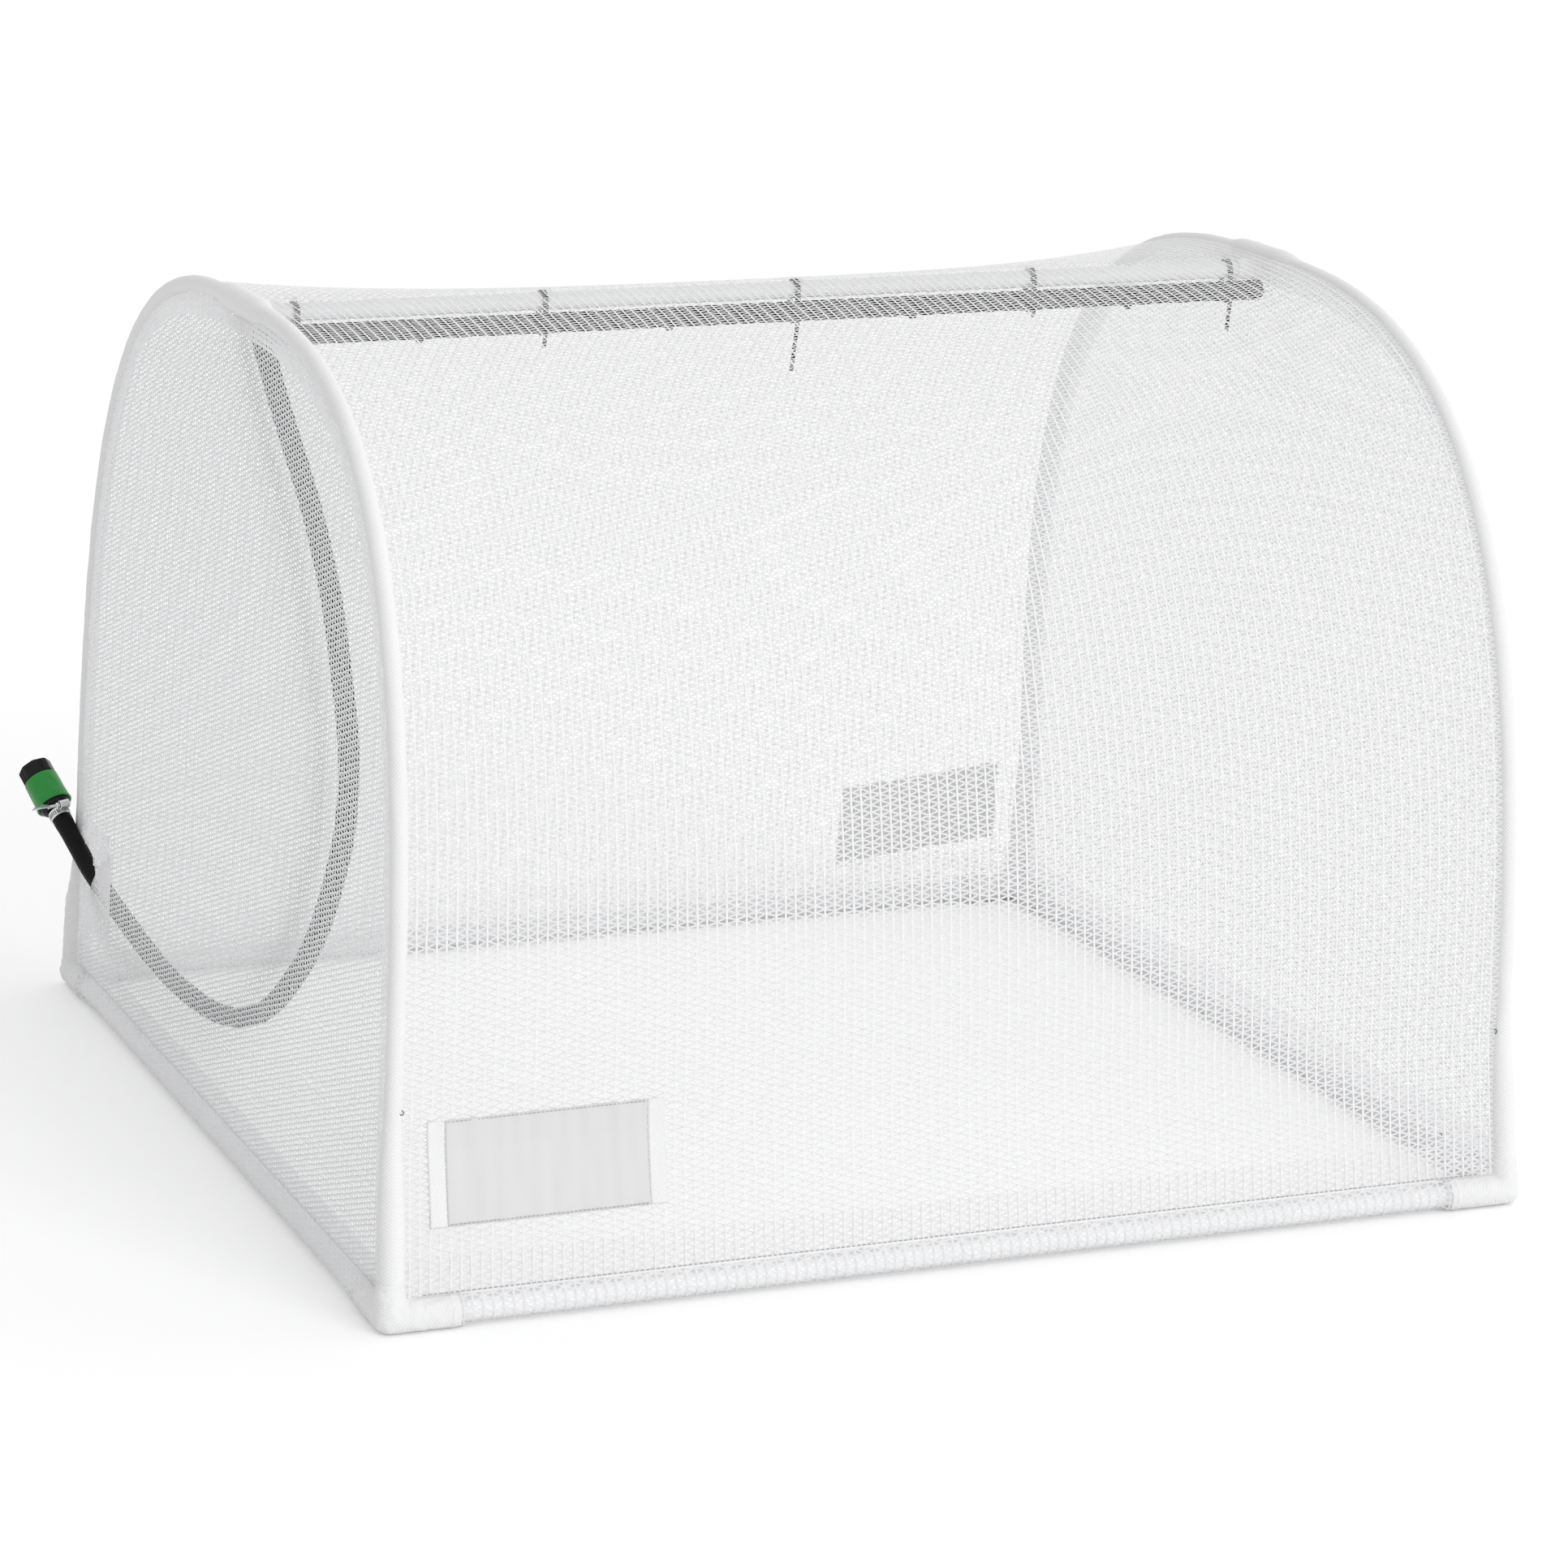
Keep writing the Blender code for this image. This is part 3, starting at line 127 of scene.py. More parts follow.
def scaled(tree, colour, by):
    """A colour or a vector times a value."""
    return add_node(tree, "ShaderNodeVectorMath", {0: colour, "Scale": by}, operation="SCALE").outputs[0]


def ranged(tree, value, low, high, to_low, to_high):
    """A value carried from one range to another and held at its ends."""
    return add_node(tree, "ShaderNodeMapRange", {"Value": value, "From Min": low, "From Max": high,
                                                 "To Min": to_low, "To Max": to_high}).outputs["Result"]


def seen_directly(tree):
    """1 for what the camera sees itself, or sees in a mirror or through glass."""
    rays = add_node(tree, "ShaderNodeLightPath").outputs
    mirrored = combine(tree, "MAXIMUM", rays["Is Camera Ray"], rays["Is Glossy Ray"])
    return combine(tree, "MAXIMUM", mirrored, rays["Is Transmission Ray"])


surround = bpy.data.worlds.new("surround")
bpy.context.scene.world = surround
surround.use_nodes = True
tree = surround.node_tree
towards = add_node(tree, "ShaderNodeSeparateXYZ", {
    "Vector": add_node(tree, "ShaderNodeTexCoord").outputs["Generated"]}).outputs
from_left = ranged(tree, towards["X"], *LEFT_RANGE, SURROUND_LEFT, SURROUND_FRONT)
from_right = ranged(tree, towards["X"], *RIGHT_RANGE, 0.0, SURROUND_RIGHT - SURROUND_FRONT)
from_behind = ranged(tree, towards["Y"], *REAR_RANGE, 0.0, SURROUND_BEHIND - SURROUND_FRONT)
studio = combine(tree, "ADD", combine(tree, "ADD", from_left, from_right), from_behind)
feed(tree, tree.nodes["Background"].inputs, {
    "Color": (1, 1, 1, 1), "Strength": ranged(tree, seen_directly(tree), 0.0, 1.0, studio, 1.0)})

lamp = put_in(bpy.data.objects.new("lamp", bpy.data.lights.new("lamp", "SUN")))
lamp.data.energy = LAMP_STRENGTH
lamp.data.angle = radians(LAMP_SPREAD)
lamp.rotation_mode = "QUATERNION"
lamp.rotation_quaternion = Vector(LAMP_LINE).to_track_quat("Z", "Y")

floor_shape = bmesh.new()
bmesh.ops.create_circle(floor_shape, cap_ends=True, segments=FLOOR_SIDES, radius=FLOOR_RADIUS)
bmesh.ops.translate(floor_shape, vec=(0, 0, -FLOOR_BELOW_FEET), verts=floor_shape.verts)
floor = bpy.data.objects.new("floor", bpy.data.meshes.new("floor"))
floor_shape.to_mesh(floor.data)
floor_shape.free()
put_in(floor)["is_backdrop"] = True

floor_paint = bpy.data.materials.new("floor_paint")
floor_paint.use_nodes = True
tree = floor_paint.node_tree
tree.nodes.clear()
diffuse = add_node(tree, "ShaderNodeBsdfDiffuse", {"Color": (*FLOOR_COLOUR, 1)})
lift = combine(tree, "MULTIPLY", seen_directly(tree), FLOOR_LIFT)
glow = add_node(tree, "ShaderNodeEmission", {"Color": (1, 1, 1, 1), "Strength": lift})
both = add_node(tree, "ShaderNodeAddShader", {0: diffuse.outputs[0], 1: glow.outputs[0]})
add_node(tree, "ShaderNodeOutputMaterial", {"Surface": both.outputs[0]})
floor.data.materials.append(floor_paint)
bpy.context.scene.view_settings.view_transform = "Standard"

# Drop hose
# An 18 mm black garden hose from the elbow under the ridge, down inside the left end and
# out through the slit. It swells a little where the clamp squeezes it onto the barb.
# A point of its route is its distance in from the left rail, its depth and its height.
HALF_WIDTH = 0.500
HOOP_HEIGHT = 0.745
LEAN_LEFT = 0.035
HOSE_RADIUS = 0.009
HOSE_HEIGHT = 0.7154
ELBOW_FROM_LEFT_HOOP = 0.012
ELBOW_DROP_ARM = 0.0142
DROP_LINE = Vector((0, -0.187, -0.120)).normalized()
HOSE_ROUTE = (
    (0.0470, -0.0187, 0.7034), (0.0470, -0.0530, 0.6735), (0.0480, -0.1060, 0.6300),
    (0.0480, -0.1510, 0.5945), (0.0475, -0.1810, 0.5660), (0.0470, -0.2070, 0.5370),
    (0.0450, -0.2340, 0.5030), (0.0425, -0.2600, 0.4620), (0.0410, -0.2770, 0.4300),
    (0.0390, -0.2860, 0.3920), (0.0370, -0.2800, 0.3500), (0.0350, -0.2650, 0.3150),
    (0.0330, -0.2390, 0.2740), (0.0315, -0.2030, 0.2320), (0.0300, -0.1520, 0.1900),
    (0.0300, -0.0810, 0.1450), (0.0300, -0.0040, 0.1120), (0.0300, 0.0780, 0.0900),
    (0.0300, 0.1620, 0.0780), (0.0290, 0.2540, 0.0740), (0.0275, 0.3350, 0.0780),
    (0.0220, 0.4030, 0.0920), (0.0080, 0.4530, 0.1190), (0.0000, 0.4745, 0.1366),
)
CONNECTOR_AXIS = Vector((-0.246, 0.723, 0.646)).normalized()
STRAIGHT_HOSE_END = 0.060
ROUTE_STEPS = 4
HOSE_ROUNDNESS = 6
END_SHAPE = ((0.060, 1.0), (0.040, 1.0), (0.028, 1.0), (0.021, 1.03), (0.016, 1.07), (0.0125, 1.08),
             (0.0105, 1.03), (0.0095, 0.99), (0.0055, 0.97), (0.0, 0.97))


def smooth_route(points, start_line, end_line):
    """A smooth curve through chosen points, with a few places in each gap."""
    slopes = [start_line * (points[1] - points[0]).length]
    slopes += [(after - before) / 2 for before, after in zip(points, points[2:])]
    slopes.append(end_line * (points[-1] - points[-2]).length)
    places = []
    for i in range(len(points) - 1):
        start_handle = points[i] + slopes[i] / 3
        end_handle = points[i + 1] - slopes[i + 1] / 3
        span = interpolate_bezier(points[i], start_handle, end_handle, points[i + 1], ROUTE_STEPS + 1)
        places += span[:-1]
    places.append(points[-1])
    return places


crown_left = -HALF_WIDTH + LEAN_LEFT
elbow_corner = Vector((crown_left + ELBOW_FROM_LEFT_HOOP, 0, HOSE_HEIGHT))
hose_start = elbow_corner + ELBOW_DROP_ARM * DROP_LINE
curved_route = smooth_route([Vector((x - HALF_WIDTH, y, z)) for x, y, z in HOSE_ROUTE],
                            DROP_LINE, CONNECTOR_AXIS)
hose_end = curved_route[-1] + STRAIGHT_HOSE_END * CONNECTOR_AXIS
hose_places = [(hose_start, 1.0)] + [(place, 1.0) for place in curved_route[:-1]]
hose_places += [(hose_end - from_end * CONNECTOR_AXIS, swell) for from_end, swell in END_SHAPE]


def shader_group(name, inputs, outputs):
    """A new group of nodes with named sockets, and its two end nodes."""
    group = bpy.data.node_groups.new(name, "ShaderNodeTree")
    for socket, kind, value in inputs:
        made = group.interface.new_socket(socket, in_out="INPUT", socket_type="NodeSocket" + kind)
        made.default_value = value
    for socket, kind in outputs:
        group.interface.new_socket(socket, in_out="OUTPUT", socket_type="NodeSocket" + kind)
    return group, add_node(group, "NodeGroupInput").outputs, add_node(group, "NodeGroupOutput").inputs


def speckle(tree, scale, detail):
    """Noise that keeps its place on a piece."""
    place = add_node(tree, "ShaderNodeTexCoord").outputs["Object"]
    return add_node(tree, "ShaderNodeTexNoise", {"Vector": place, "Scale": scale,
                                                 "Detail": detail}).outputs["Fac"]


def raised(tree, height, strength, relief):
    """The way a surface faces where a height raises it."""
    return add_node(tree, "ShaderNodeBump", {"Height": height, "Strength": strength,
                                             "Distance": relief}).outputs["Normal"]


def new_finish(name):
    """A new material, its nodes, and its surface shader."""
    finish = bpy.data.materials.new(name)
    finish.use_nodes = True
    return finish, finish.node_tree, finish.node_tree.nodes["Principled BSDF"]


def make_grain_group():
    """Small changes of tone, gloss and height over a moulded or coated surface."""
    group, given, result = shader_group(
        "grain", [("Colour", "Color", (1, 1, 1, 1)), ("Roughness", "Float", 0.5),
                  ("Scale", "Float", 200.0), ("Tone Change", "Float", 0.1),
                  ("Gloss Change", "Float", 0.1)],
        [("Colour", "Color"), ("Roughness", "Float"), ("Height", "Float")])
    broad = speckle(group, combine(group, "MULTIPLY", given["Scale"], 0.06), 2.0)
    centred = combine(group, "ADD", broad, -0.5)
    shade = combine(group, "MULTIPLY_ADD", centred, given["Tone Change"], 1.0)
    gloss = combine(group, "MULTIPLY_ADD", centred, given["Gloss Change"], given["Roughness"])
    feed(group, result, {"Colour": scaled(group, given["Colour"], shade), "Roughness": gloss,
                         "Height": speckle(group, given["Scale"], 3.0)})
    return group


GRAIN = make_grain_group()
GRAIN_RELIEF = 0.001


def grained(name, colour, roughness, scale=200.0, tone=0.10, gloss=0.15, bump=0.02, specular=0.5,
            metallic=0.0):
    """A finish with a moulded or coated surface's fine grain."""
    finish, tree, shader = new_finish(name)
    grain = add_node(tree, "ShaderNodeGroup", {
        "Colour": (*colour, 1), "Roughness": roughness, "Scale": scale, "Tone Change": tone,
        "Gloss Change": gloss}, node_tree=GRAIN).outputs
    feed(tree, shader.inputs, {
        "Base Color": grain["Colour"], "Roughness": grain["Roughness"],
        "Normal": raised(tree, grain["Height"], bump, GRAIN_RELIEF),
        "Specular IOR Level": specular, "Metallic": metallic})
    return finish


def settle(piece, finishes, body="cover", stands_for=()):
    """Give a piece its finish, the body it moves with and the solids it stands for."""
    for finish in finishes:
        piece.data.materials.append(finish)
    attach(put_in(piece), body)
    if stands_for:
        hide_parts(*stands_for)
    return piece


def tube(name, radius, places, roundness=4):
    """A round tube through (place, swell) pairs."""
    curve = bpy.data.curves.new(name, "CURVE")
    curve.dimensions = "3D"
    curve.bevel_depth = radius
    curve.bevel_resolution = roundness
    curve.use_fill_caps = True
    line = curve.splines.new("POLY")
    line.points.add(len(places) - 1)
    for point, (place, swell) in zip(line.points, places):
        point.co = (*place, 1.0)
        point.radius = swell
    return bpy.data.objects.new(name, curve)


black_rubber_hose = grained("black_hose", (0.004, 0.004, 0.0045), 0.50, scale=900, bump=0.10,
                            specular=0.12)
drop_hose = settle(tube("drop_hose_tube", HOSE_RADIUS, hose_places, HOSE_ROUNDNESS),
                   [black_rubber_hose], stands_for=["drop_hose"])

# Connector body
# The black moulded half of a quick connector: a dome pushed on the hose's end, and a
# socket for the tap adaptor. The clear way through it is turned too.
CLAMP_SCREW_SIDE = (0.132, -0.635, 0.761)
WATERWAY_RADIUS = 0.005
NECK_RADIUS = 0.0100
DOME_LENGTH = 0.0079
BODY_RADIUS = 0.0156
BODY_START = 0.0004
BODY_LENGTH = 0.0375
BODY_ROUND = 0.0006
SOCKET_RADIUS = 0.0086
SOCKET_FLOOR = 0.0205
TURNED_STEPS = 72


def aim(origin, direction, across):
    """A placement whose Z axis points along a direction, with X nearest to another."""
    z_axis = Vector(direction).normalized()
    x_axis = Vector(across) - Vector(across).dot(z_axis) * z_axis
    x_axis.normalize()
    turn = Matrix((x_axis, z_axis.cross(x_axis), z_axis)).transposed().to_4x4()
    return Matrix.Translation(Vector(origin)) @ turn


def finished(name, mesh_data, place=Matrix(), crease=35):
    """Turn a bmesh into an object in its place, shaded smooth except at its edges."""
    bmesh.ops.remove_doubles(mesh_data, verts=mesh_data.verts, dist=1e-6)
    bmesh.ops.recalc_face_normals(mesh_data, faces=mesh_data.faces)
    bmesh.ops.transform(mesh_data, matrix=place, verts=mesh_data.verts)
    mesh = bpy.data.meshes.new(name)
    mesh_data.to_mesh(mesh)
    mesh_data.free()
    mesh.shade_smooth()
    mesh.set_sharp_from_angle(angle=radians(crease))
    return bpy.data.objects.new(name, mesh)


def spun(profile, steps=TURNED_STEPS, closed=True):
    """A bmesh turned about Z from (radius, height) pairs, which run round the wall."""
    mesh_data = bmesh.new()
    ring = [mesh_data.verts.new((radius, 0, height)) for radius, height in profile]
    pairs = list(zip(ring, ring[1:]))
    if closed:
        pairs.append((ring[-1], ring[0]))
    edges = [mesh_data.edges.new(pair) for pair in pairs]
    bmesh.ops.spin(mesh_data, geom=ring + edges, cent=(0, 0, 0), axis=(0, 0, 1), angle=tau,
                   steps=steps, use_merge=True, use_duplicate=False)
    return mesh_data


def arc(centre, radius, start, end, steps=4):
    """Points on a round corner of a profile, from one angle in degrees to another."""
    angles = [radians(start + (end - start) * i / steps) for i in range(steps + 1)]
    return [(centre[0] + radius * cos(a), centre[1] + radius * sin(a)) for a in angles]


def rounded_top(radius, top, rounding, steps=4):
    """The round outer corner at the top of a turned profile."""
    return arc((radius - rounding, top - rounding), rounding, 0, 90, steps)


connector_place = aim(hose_end, CONNECTOR_AXIS, CLAMP_SCREW_SIDE)
black_nylon = grained("black_nylon", (0.004, 0.004, 0.0045), 0.28, scale=1200, bump=0.06,
                      specular=0.20)
dome = [(NECK_RADIUS + (BODY_RADIUS - NECK_RADIUS) * sin(radians(a)),
         BODY_START + DOME_LENGTH * (1 - cos(radians(a)))) for a in range(0, 91, 9)]
connector = finished("connector_shell", spun(
    [(WATERWAY_RADIUS, BODY_START)] + dome + rounded_top(BODY_RADIUS, BODY_LENGTH, BODY_ROUND)
    + [(SOCKET_RADIUS, BODY_LENGTH), (SOCKET_RADIUS, SOCKET_FLOOR), (WATERWAY_RADIUS, SOCKET_FLOOR)]),
    connector_place)
settle(connector, [black_nylon], stands_for=["connector_body"])

# Release collar
# A green moulded sleeve that slides on the connector. It has a rolled rim towards the
# hose and shallow oval hollows for the fingers round its side.
COLLAR_LOW_RADIUS = 0.0174
COLLAR_TOP_RADIUS = 0.0168
COLLAR_START = 0.0065
COLLAR_END = 0.0380
COLLAR_RIM = 0.0022
RIM_ROUND = 0.0010
RIM_IN = 0.0004
COLLAR_ROUND = 0.0008
COLLAR_SIDE_STOP = 0.0012
COLLAR_BORE = BODY_RADIUS + 0.0003
COLLAR_ROWS = 44
COLLAR_STEPS = 168
HOLLOWS = 7
HOLLOW_HEIGHT = 0.0068
HOLLOW_WIDTH = 0.0038
HOLLOW_DEPTH = 0.00045
HOLLOW_EDGE = (1.12, 0.24)
HOLLOW_MIDDLE = 0.0215

green_nylon = grained("green_nylon", (0.010, 0.255, 0.030), 0.34, scale=900, tone=0.12, bump=0.05,
                      specular=0.4)
side_length = COLLAR_END - COLLAR_START - COLLAR_RIM - COLLAR_SIDE_STOP
side = [(COLLAR_LOW_RADIUS + (COLLAR_TOP_RADIUS - COLLAR_LOW_RADIUS) * i / COLLAR_ROWS,
         COLLAR_START + COLLAR_RIM + side_length * i / COLLAR_ROWS) for i in range(COLLAR_ROWS + 1)]
collar_shape = spun(
    [(COLLAR_BORE, COLLAR_START + RIM_IN)]
    + arc((COLLAR_LOW_RADIUS - RIM_IN, COLLAR_START + RIM_ROUND), RIM_ROUND, -110, 70, 8)
    + side + rounded_top(COLLAR_TOP_RADIUS, COLLAR_END, COLLAR_ROUND)
    + [(COLLAR_BORE, COLLAR_END)], steps=COLLAR_STEPS)
for vert in collar_shape.verts:
    radius = vert.co.xy.length
    if radius > COLLAR_BORE + 0.0002:
        turn = np.arctan2(vert.co.y, vert.co.x) * HOLLOWS / tau
        off_centre = (turn - round(turn)) * tau / HOLLOWS * radius / HOLLOW_WIDTH
        reach = np.hypot(off_centre, (vert.co.z - HOLLOW_MIDDLE) / HOLLOW_HEIGHT)
        sink = HOLLOW_DEPTH * min(max((HOLLOW_EDGE[0] - reach) / HOLLOW_EDGE[1], 0.0), 1.0)
        vert.co.xy *= (radius - sink) / radius
settle(finished("release_sleeve", collar_shape, connector_place, crease=60), [green_nylon],
       "collar", ["release_collar"])

# Tap adaptor
# A black moulded cap with a threaded socket for the tap. Four of its eight sides carry
# grip ribs, and its grooved spigot, in the connector, holds the seal.
ADAPTOR_START = 0.0387
ADAPTOR_TOP = 0.0535
ADAPTOR_RADIUS = 0.0163
ADAPTOR_ROUND = 0.0014
ADAPTOR_FOOT_ROUND = 0.0010
ADAPTOR_PLAIN = 0.0040
ADAPTOR_STEPS = 240
SPIGOT_RADIUS = 0.0082
SPIGOT_BEVEL = 0.0006
SPIGOT_TIP = 0.0212
GROOVE_LOW = 0.0252
GROOVE_WIDTH = 0.0024
GROOVE_RADIUS = 0.0070
THREAD_RADIUS = 0.0128
THREAD_FLOOR = ADAPTOR_TOP - 0.0105
THREAD_PITCH = 0.0018
THREAD_TURNS = 4
THREAD_START = 0.0030
THREAD_HEIGHT = 0.0011
THREAD_ROOT = 0.0002
THREAD_FOOT_HALF = 0.0007
THREAD_CREST_HALF = 0.0002
STEPS_A_TURN = 48
ADAPTOR_SIDES = 8
SIDE_RIBS = 5
FLAT_SHARE = 0.72
RIBBED_SHARE = 0.40
RIB_DEPTH = 0.0006

adaptor_shape = spun(
    [(WATERWAY_RADIUS, SPIGOT_TIP), (SPIGOT_RADIUS - SPIGOT_BEVEL, SPIGOT_TIP),
     (SPIGOT_RADIUS, SPIGOT_TIP + SPIGOT_BEVEL), (SPIGOT_RADIUS, GROOVE_LOW), (GROOVE_RADIUS, GROOVE_LOW),
     (GROOVE_RADIUS, GROOVE_LOW + GROOVE_WIDTH), (SPIGOT_RADIUS, GROOVE_LOW + GROOVE_WIDTH),
     (SPIGOT_RADIUS, ADAPTOR_START)]
    + arc((ADAPTOR_RADIUS - ADAPTOR_FOOT_ROUND, ADAPTOR_START + ADAPTOR_FOOT_ROUND), ADAPTOR_FOOT_ROUND,
          -90, 0)
    + [(ADAPTOR_RADIUS, ADAPTOR_START + ADAPTOR_PLAIN), (ADAPTOR_RADIUS, ADAPTOR_TOP - ADAPTOR_PLAIN)]
    + rounded_top(ADAPTOR_RADIUS, ADAPTOR_TOP, ADAPTOR_ROUND, 6)
    + [(THREAD_RADIUS, ADAPTOR_TOP), (THREAD_RADIUS, THREAD_FLOOR), (WATERWAY_RADIUS, THREAD_FLOOR)],
    steps=ADAPTOR_STEPS)
for vert in adaptor_shape.verts:
    radius = vert.co.xy.length
    if radius > THREAD_RADIUS + 0.0004:
        turn = np.arctan2(vert.co.y, vert.co.x) * ADAPTOR_SIDES / tau
        across = turn - round(turn)
        flat = cos(pi / ADAPTOR_SIDES * FLAT_SHARE) / cos(tau / ADAPTOR_SIDES * across)
        ribbed = round(turn) % 2 == 0 and abs(across) < RIBBED_SHARE
        wave = cos(tau * across * SIDE_RIBS / (2 * RIBBED_SHARE))
        rib = RIB_DEPTH * (0.5 + 0.5 * wave) if ribbed else 0.0
        vert.co.xy *= min(flat, 1.0) * (radius - rib) / radius
settle(finished("tap_cap", adaptor_shape, connector_place), [black_nylon], "adaptor",
       ["tap_adaptor"])

thread = bmesh.new()
crest, root = THREAD_RADIUS - THREAD_HEIGHT, THREAD_RADIUS + THREAD_ROOT
ridge = [thread.verts.new((radius, 0, THREAD_FLOOR + THREAD_START + height))
         for radius, height in ((root, -THREAD_FOOT_HALF), (crest, -THREAD_CREST_HALF),
                                (crest, THREAD_CREST_HALF), (root, THREAD_FOOT_HALF))]
ridge_edges = [thread.edges.new(pair) for pair in zip(ridge, ridge[1:] + ridge[:1])]
thread_steps = STEPS_A_TURN * THREAD_TURNS
bmesh.ops.spin(thread, geom=ridge + ridge_edges, cent=(0, 0, 0), axis=(0, 0, 1),
               dvec=(0, 0, THREAD_PITCH * THREAD_TURNS / thread_steps),
               angle=tau * THREAD_TURNS, steps=thread_steps, use_duplicate=False)
bmesh.ops.holes_fill(thread, edges=thread.edges, sides=4)
settle(finished("tap_thread", thread, connector_place), [black_nylon], "adaptor")

# Adaptor seals
# A round rubber ring in the spigot's groove, and a flat washer at the foot of the thread.
SEAL_THICKNESS_HALF = 0.00113
SEAL_INNER = 0.00717
WASHER_INNER = 0.0060
WASHER_OUTER = 0.0125
WASHER_THICKNESS = 0.0020
WASHER_BEVEL = 0.0003

black_rubber = grained("black_rubber", (0.016, 0.016, 0.016), 0.62, scale=1500, bump=0.08,
                       specular=0.3)
ring_middle = (SEAL_INNER + SEAL_THICKNESS_HALF, GROOVE_LOW + GROOVE_WIDTH / 2)
ring_round = arc(ring_middle, SEAL_THICKNESS_HALF, 0, 337.5, 15)
settle(finished("seal_ring", spun(ring_round), connector_place), [black_rubber],
       "adaptor", ["adaptor_o_ring"])
washer_low = THREAD_FLOOR + WASHER_BEVEL
washer_high = washer_low + WASHER_THICKNESS
inner, outer, bevel = WASHER_INNER, WASHER_OUTER, WASHER_BEVEL
settle(finished("tap_washer", spun(
    [(inner, washer_low + bevel), (inner + bevel, washer_low), (outer - bevel, washer_low),
     (outer, washer_low + bevel), (outer, washer_high - bevel), (outer - bevel, washer_high),
     (inner + bevel, washer_high), (inner, washer_high - bevel)]), connector_place),
    [black_rubber], "adaptor", ["adaptor_washer"])

# Hose clamp
# A slotted steel band round the hose, a rolled barrel that holds its worm screw, and the
# screw with a leaf-shaped thumb wing.
CLAMP_TOP = -0.0015
CLAMP_WIDTH = 0.0080
BAND_INNER = HOSE_RADIUS + 0.0003
BAND_WALL = 0.0008
BAND_OUTER = BAND_INNER + BAND_WALL
BAND_SLOTS = 30
SLOT_FROM_EDGE = 0.0018
SLOT_INSET = 0.00012
BAND_SLOT_DEPTH = 0.00045
SCREW_OUT = 0.0158
SCREW_SHIFT = 0.0015
SCREW_RADIUS = 0.0029
SCREW_GAP = 0.0003
SHANK_RADIUS = 0.0017
BARREL_LENGTH = 0.0100
BARREL_RADIUS = 0.0043
BARREL_BEVEL = 0.0004
FOOT_WIDTH = 0.0068
FOOT_LENGTH_SHARE = 0.8
FOOT_TOP = 0.0030
SCREW_TAIL = 0.0062
SCREW_REACH = 0.0180
WING_LENGTH = 0.0185
WING_WIDTH = 0.0090
WING_THICKNESS = 0.0014
WING_TURN = 35

steel = grained("stainless_steel", (0.66, 0.66, 0.67), 0.24, scale=700, tone=0.10, gloss=0.2,
                bump=0.03, metallic=1.0)
dark_recess = grained("slot_shadow", (0.05, 0.05, 0.05), 0.6, scale=700)
clamp_bottom = CLAMP_TOP - CLAMP_WIDTH
band = spun([(BAND_INNER, clamp_bottom), (BAND_OUTER, clamp_bottom),
             (BAND_OUTER, clamp_bottom + SLOT_FROM_EDGE), (BAND_OUTER, CLAMP_TOP - SLOT_FROM_EDGE),
             (BAND_OUTER, CLAMP_TOP), (BAND_INNER, CLAMP_TOP)], steps=BAND_SLOTS * 2)
outer = [face for face in band.faces if face.calc_center_median().xy.length > BAND_INNER + 0.6 * BAND_WALL
         and abs(face.calc_center_median().z - (CLAMP_TOP + clamp_bottom) / 2) < 0.0005]
slots = sorted(outer, key=lambda face: np.arctan2(*face.calc_center_median().yx))[::2]
bmesh.ops.inset_individual(band, faces=slots, thickness=SLOT_INSET, depth=-BAND_SLOT_DEPTH)
for face in slots:
    face.material_index = 1
settle(finished("clamp_strap", band, connector_place), [steel, dark_recess],
       stands_for=["clamp_band"])

screw_middle = (CLAMP_TOP + clamp_bottom) / 2 + SCREW_SHIFT
screw_place = (connector_place @ Matrix.Translation((SCREW_OUT, 0, screw_middle))
               @ Matrix.Rotation(pi / 2, 4, "X"))
half_barrel = BARREL_LENGTH / 2
barrel = spun([(SCREW_RADIUS + SCREW_GAP, -half_barrel), (BARREL_RADIUS - BARREL_BEVEL, -half_barrel),
               (BARREL_RADIUS, -half_barrel + BARREL_BEVEL), (BARREL_RADIUS, half_barrel - BARREL_BEVEL),
               (BARREL_RADIUS - BARREL_BEVEL, half_barrel), (SCREW_RADIUS + SCREW_GAP, half_barrel)],
              steps=40)
foot = bmesh.ops.create_cube(barrel, size=1.0)["verts"]
foot_height = SCREW_OUT - BAND_INNER - BAND_WALL - SCREW_GAP - FOOT_TOP
bmesh.ops.scale(barrel, vec=(foot_height, FOOT_WIDTH, BARREL_LENGTH * FOOT_LENGTH_SHARE), verts=foot)
bmesh.ops.translate(barrel, vec=(-0.0031 - foot_height / 2, 0, 0), verts=foot)
bmesh.ops.bevel(barrel, geom=list({edge for vert in foot for edge in vert.link_edges}), offset=BARREL_BEVEL,
                offset_type="OFFSET", affect="EDGES", segments=2, profile=0.5, material=-1)
settle(finished("clamp_barrel", barrel, screw_place), [steel],
       stands_for=["clamp_housing"])

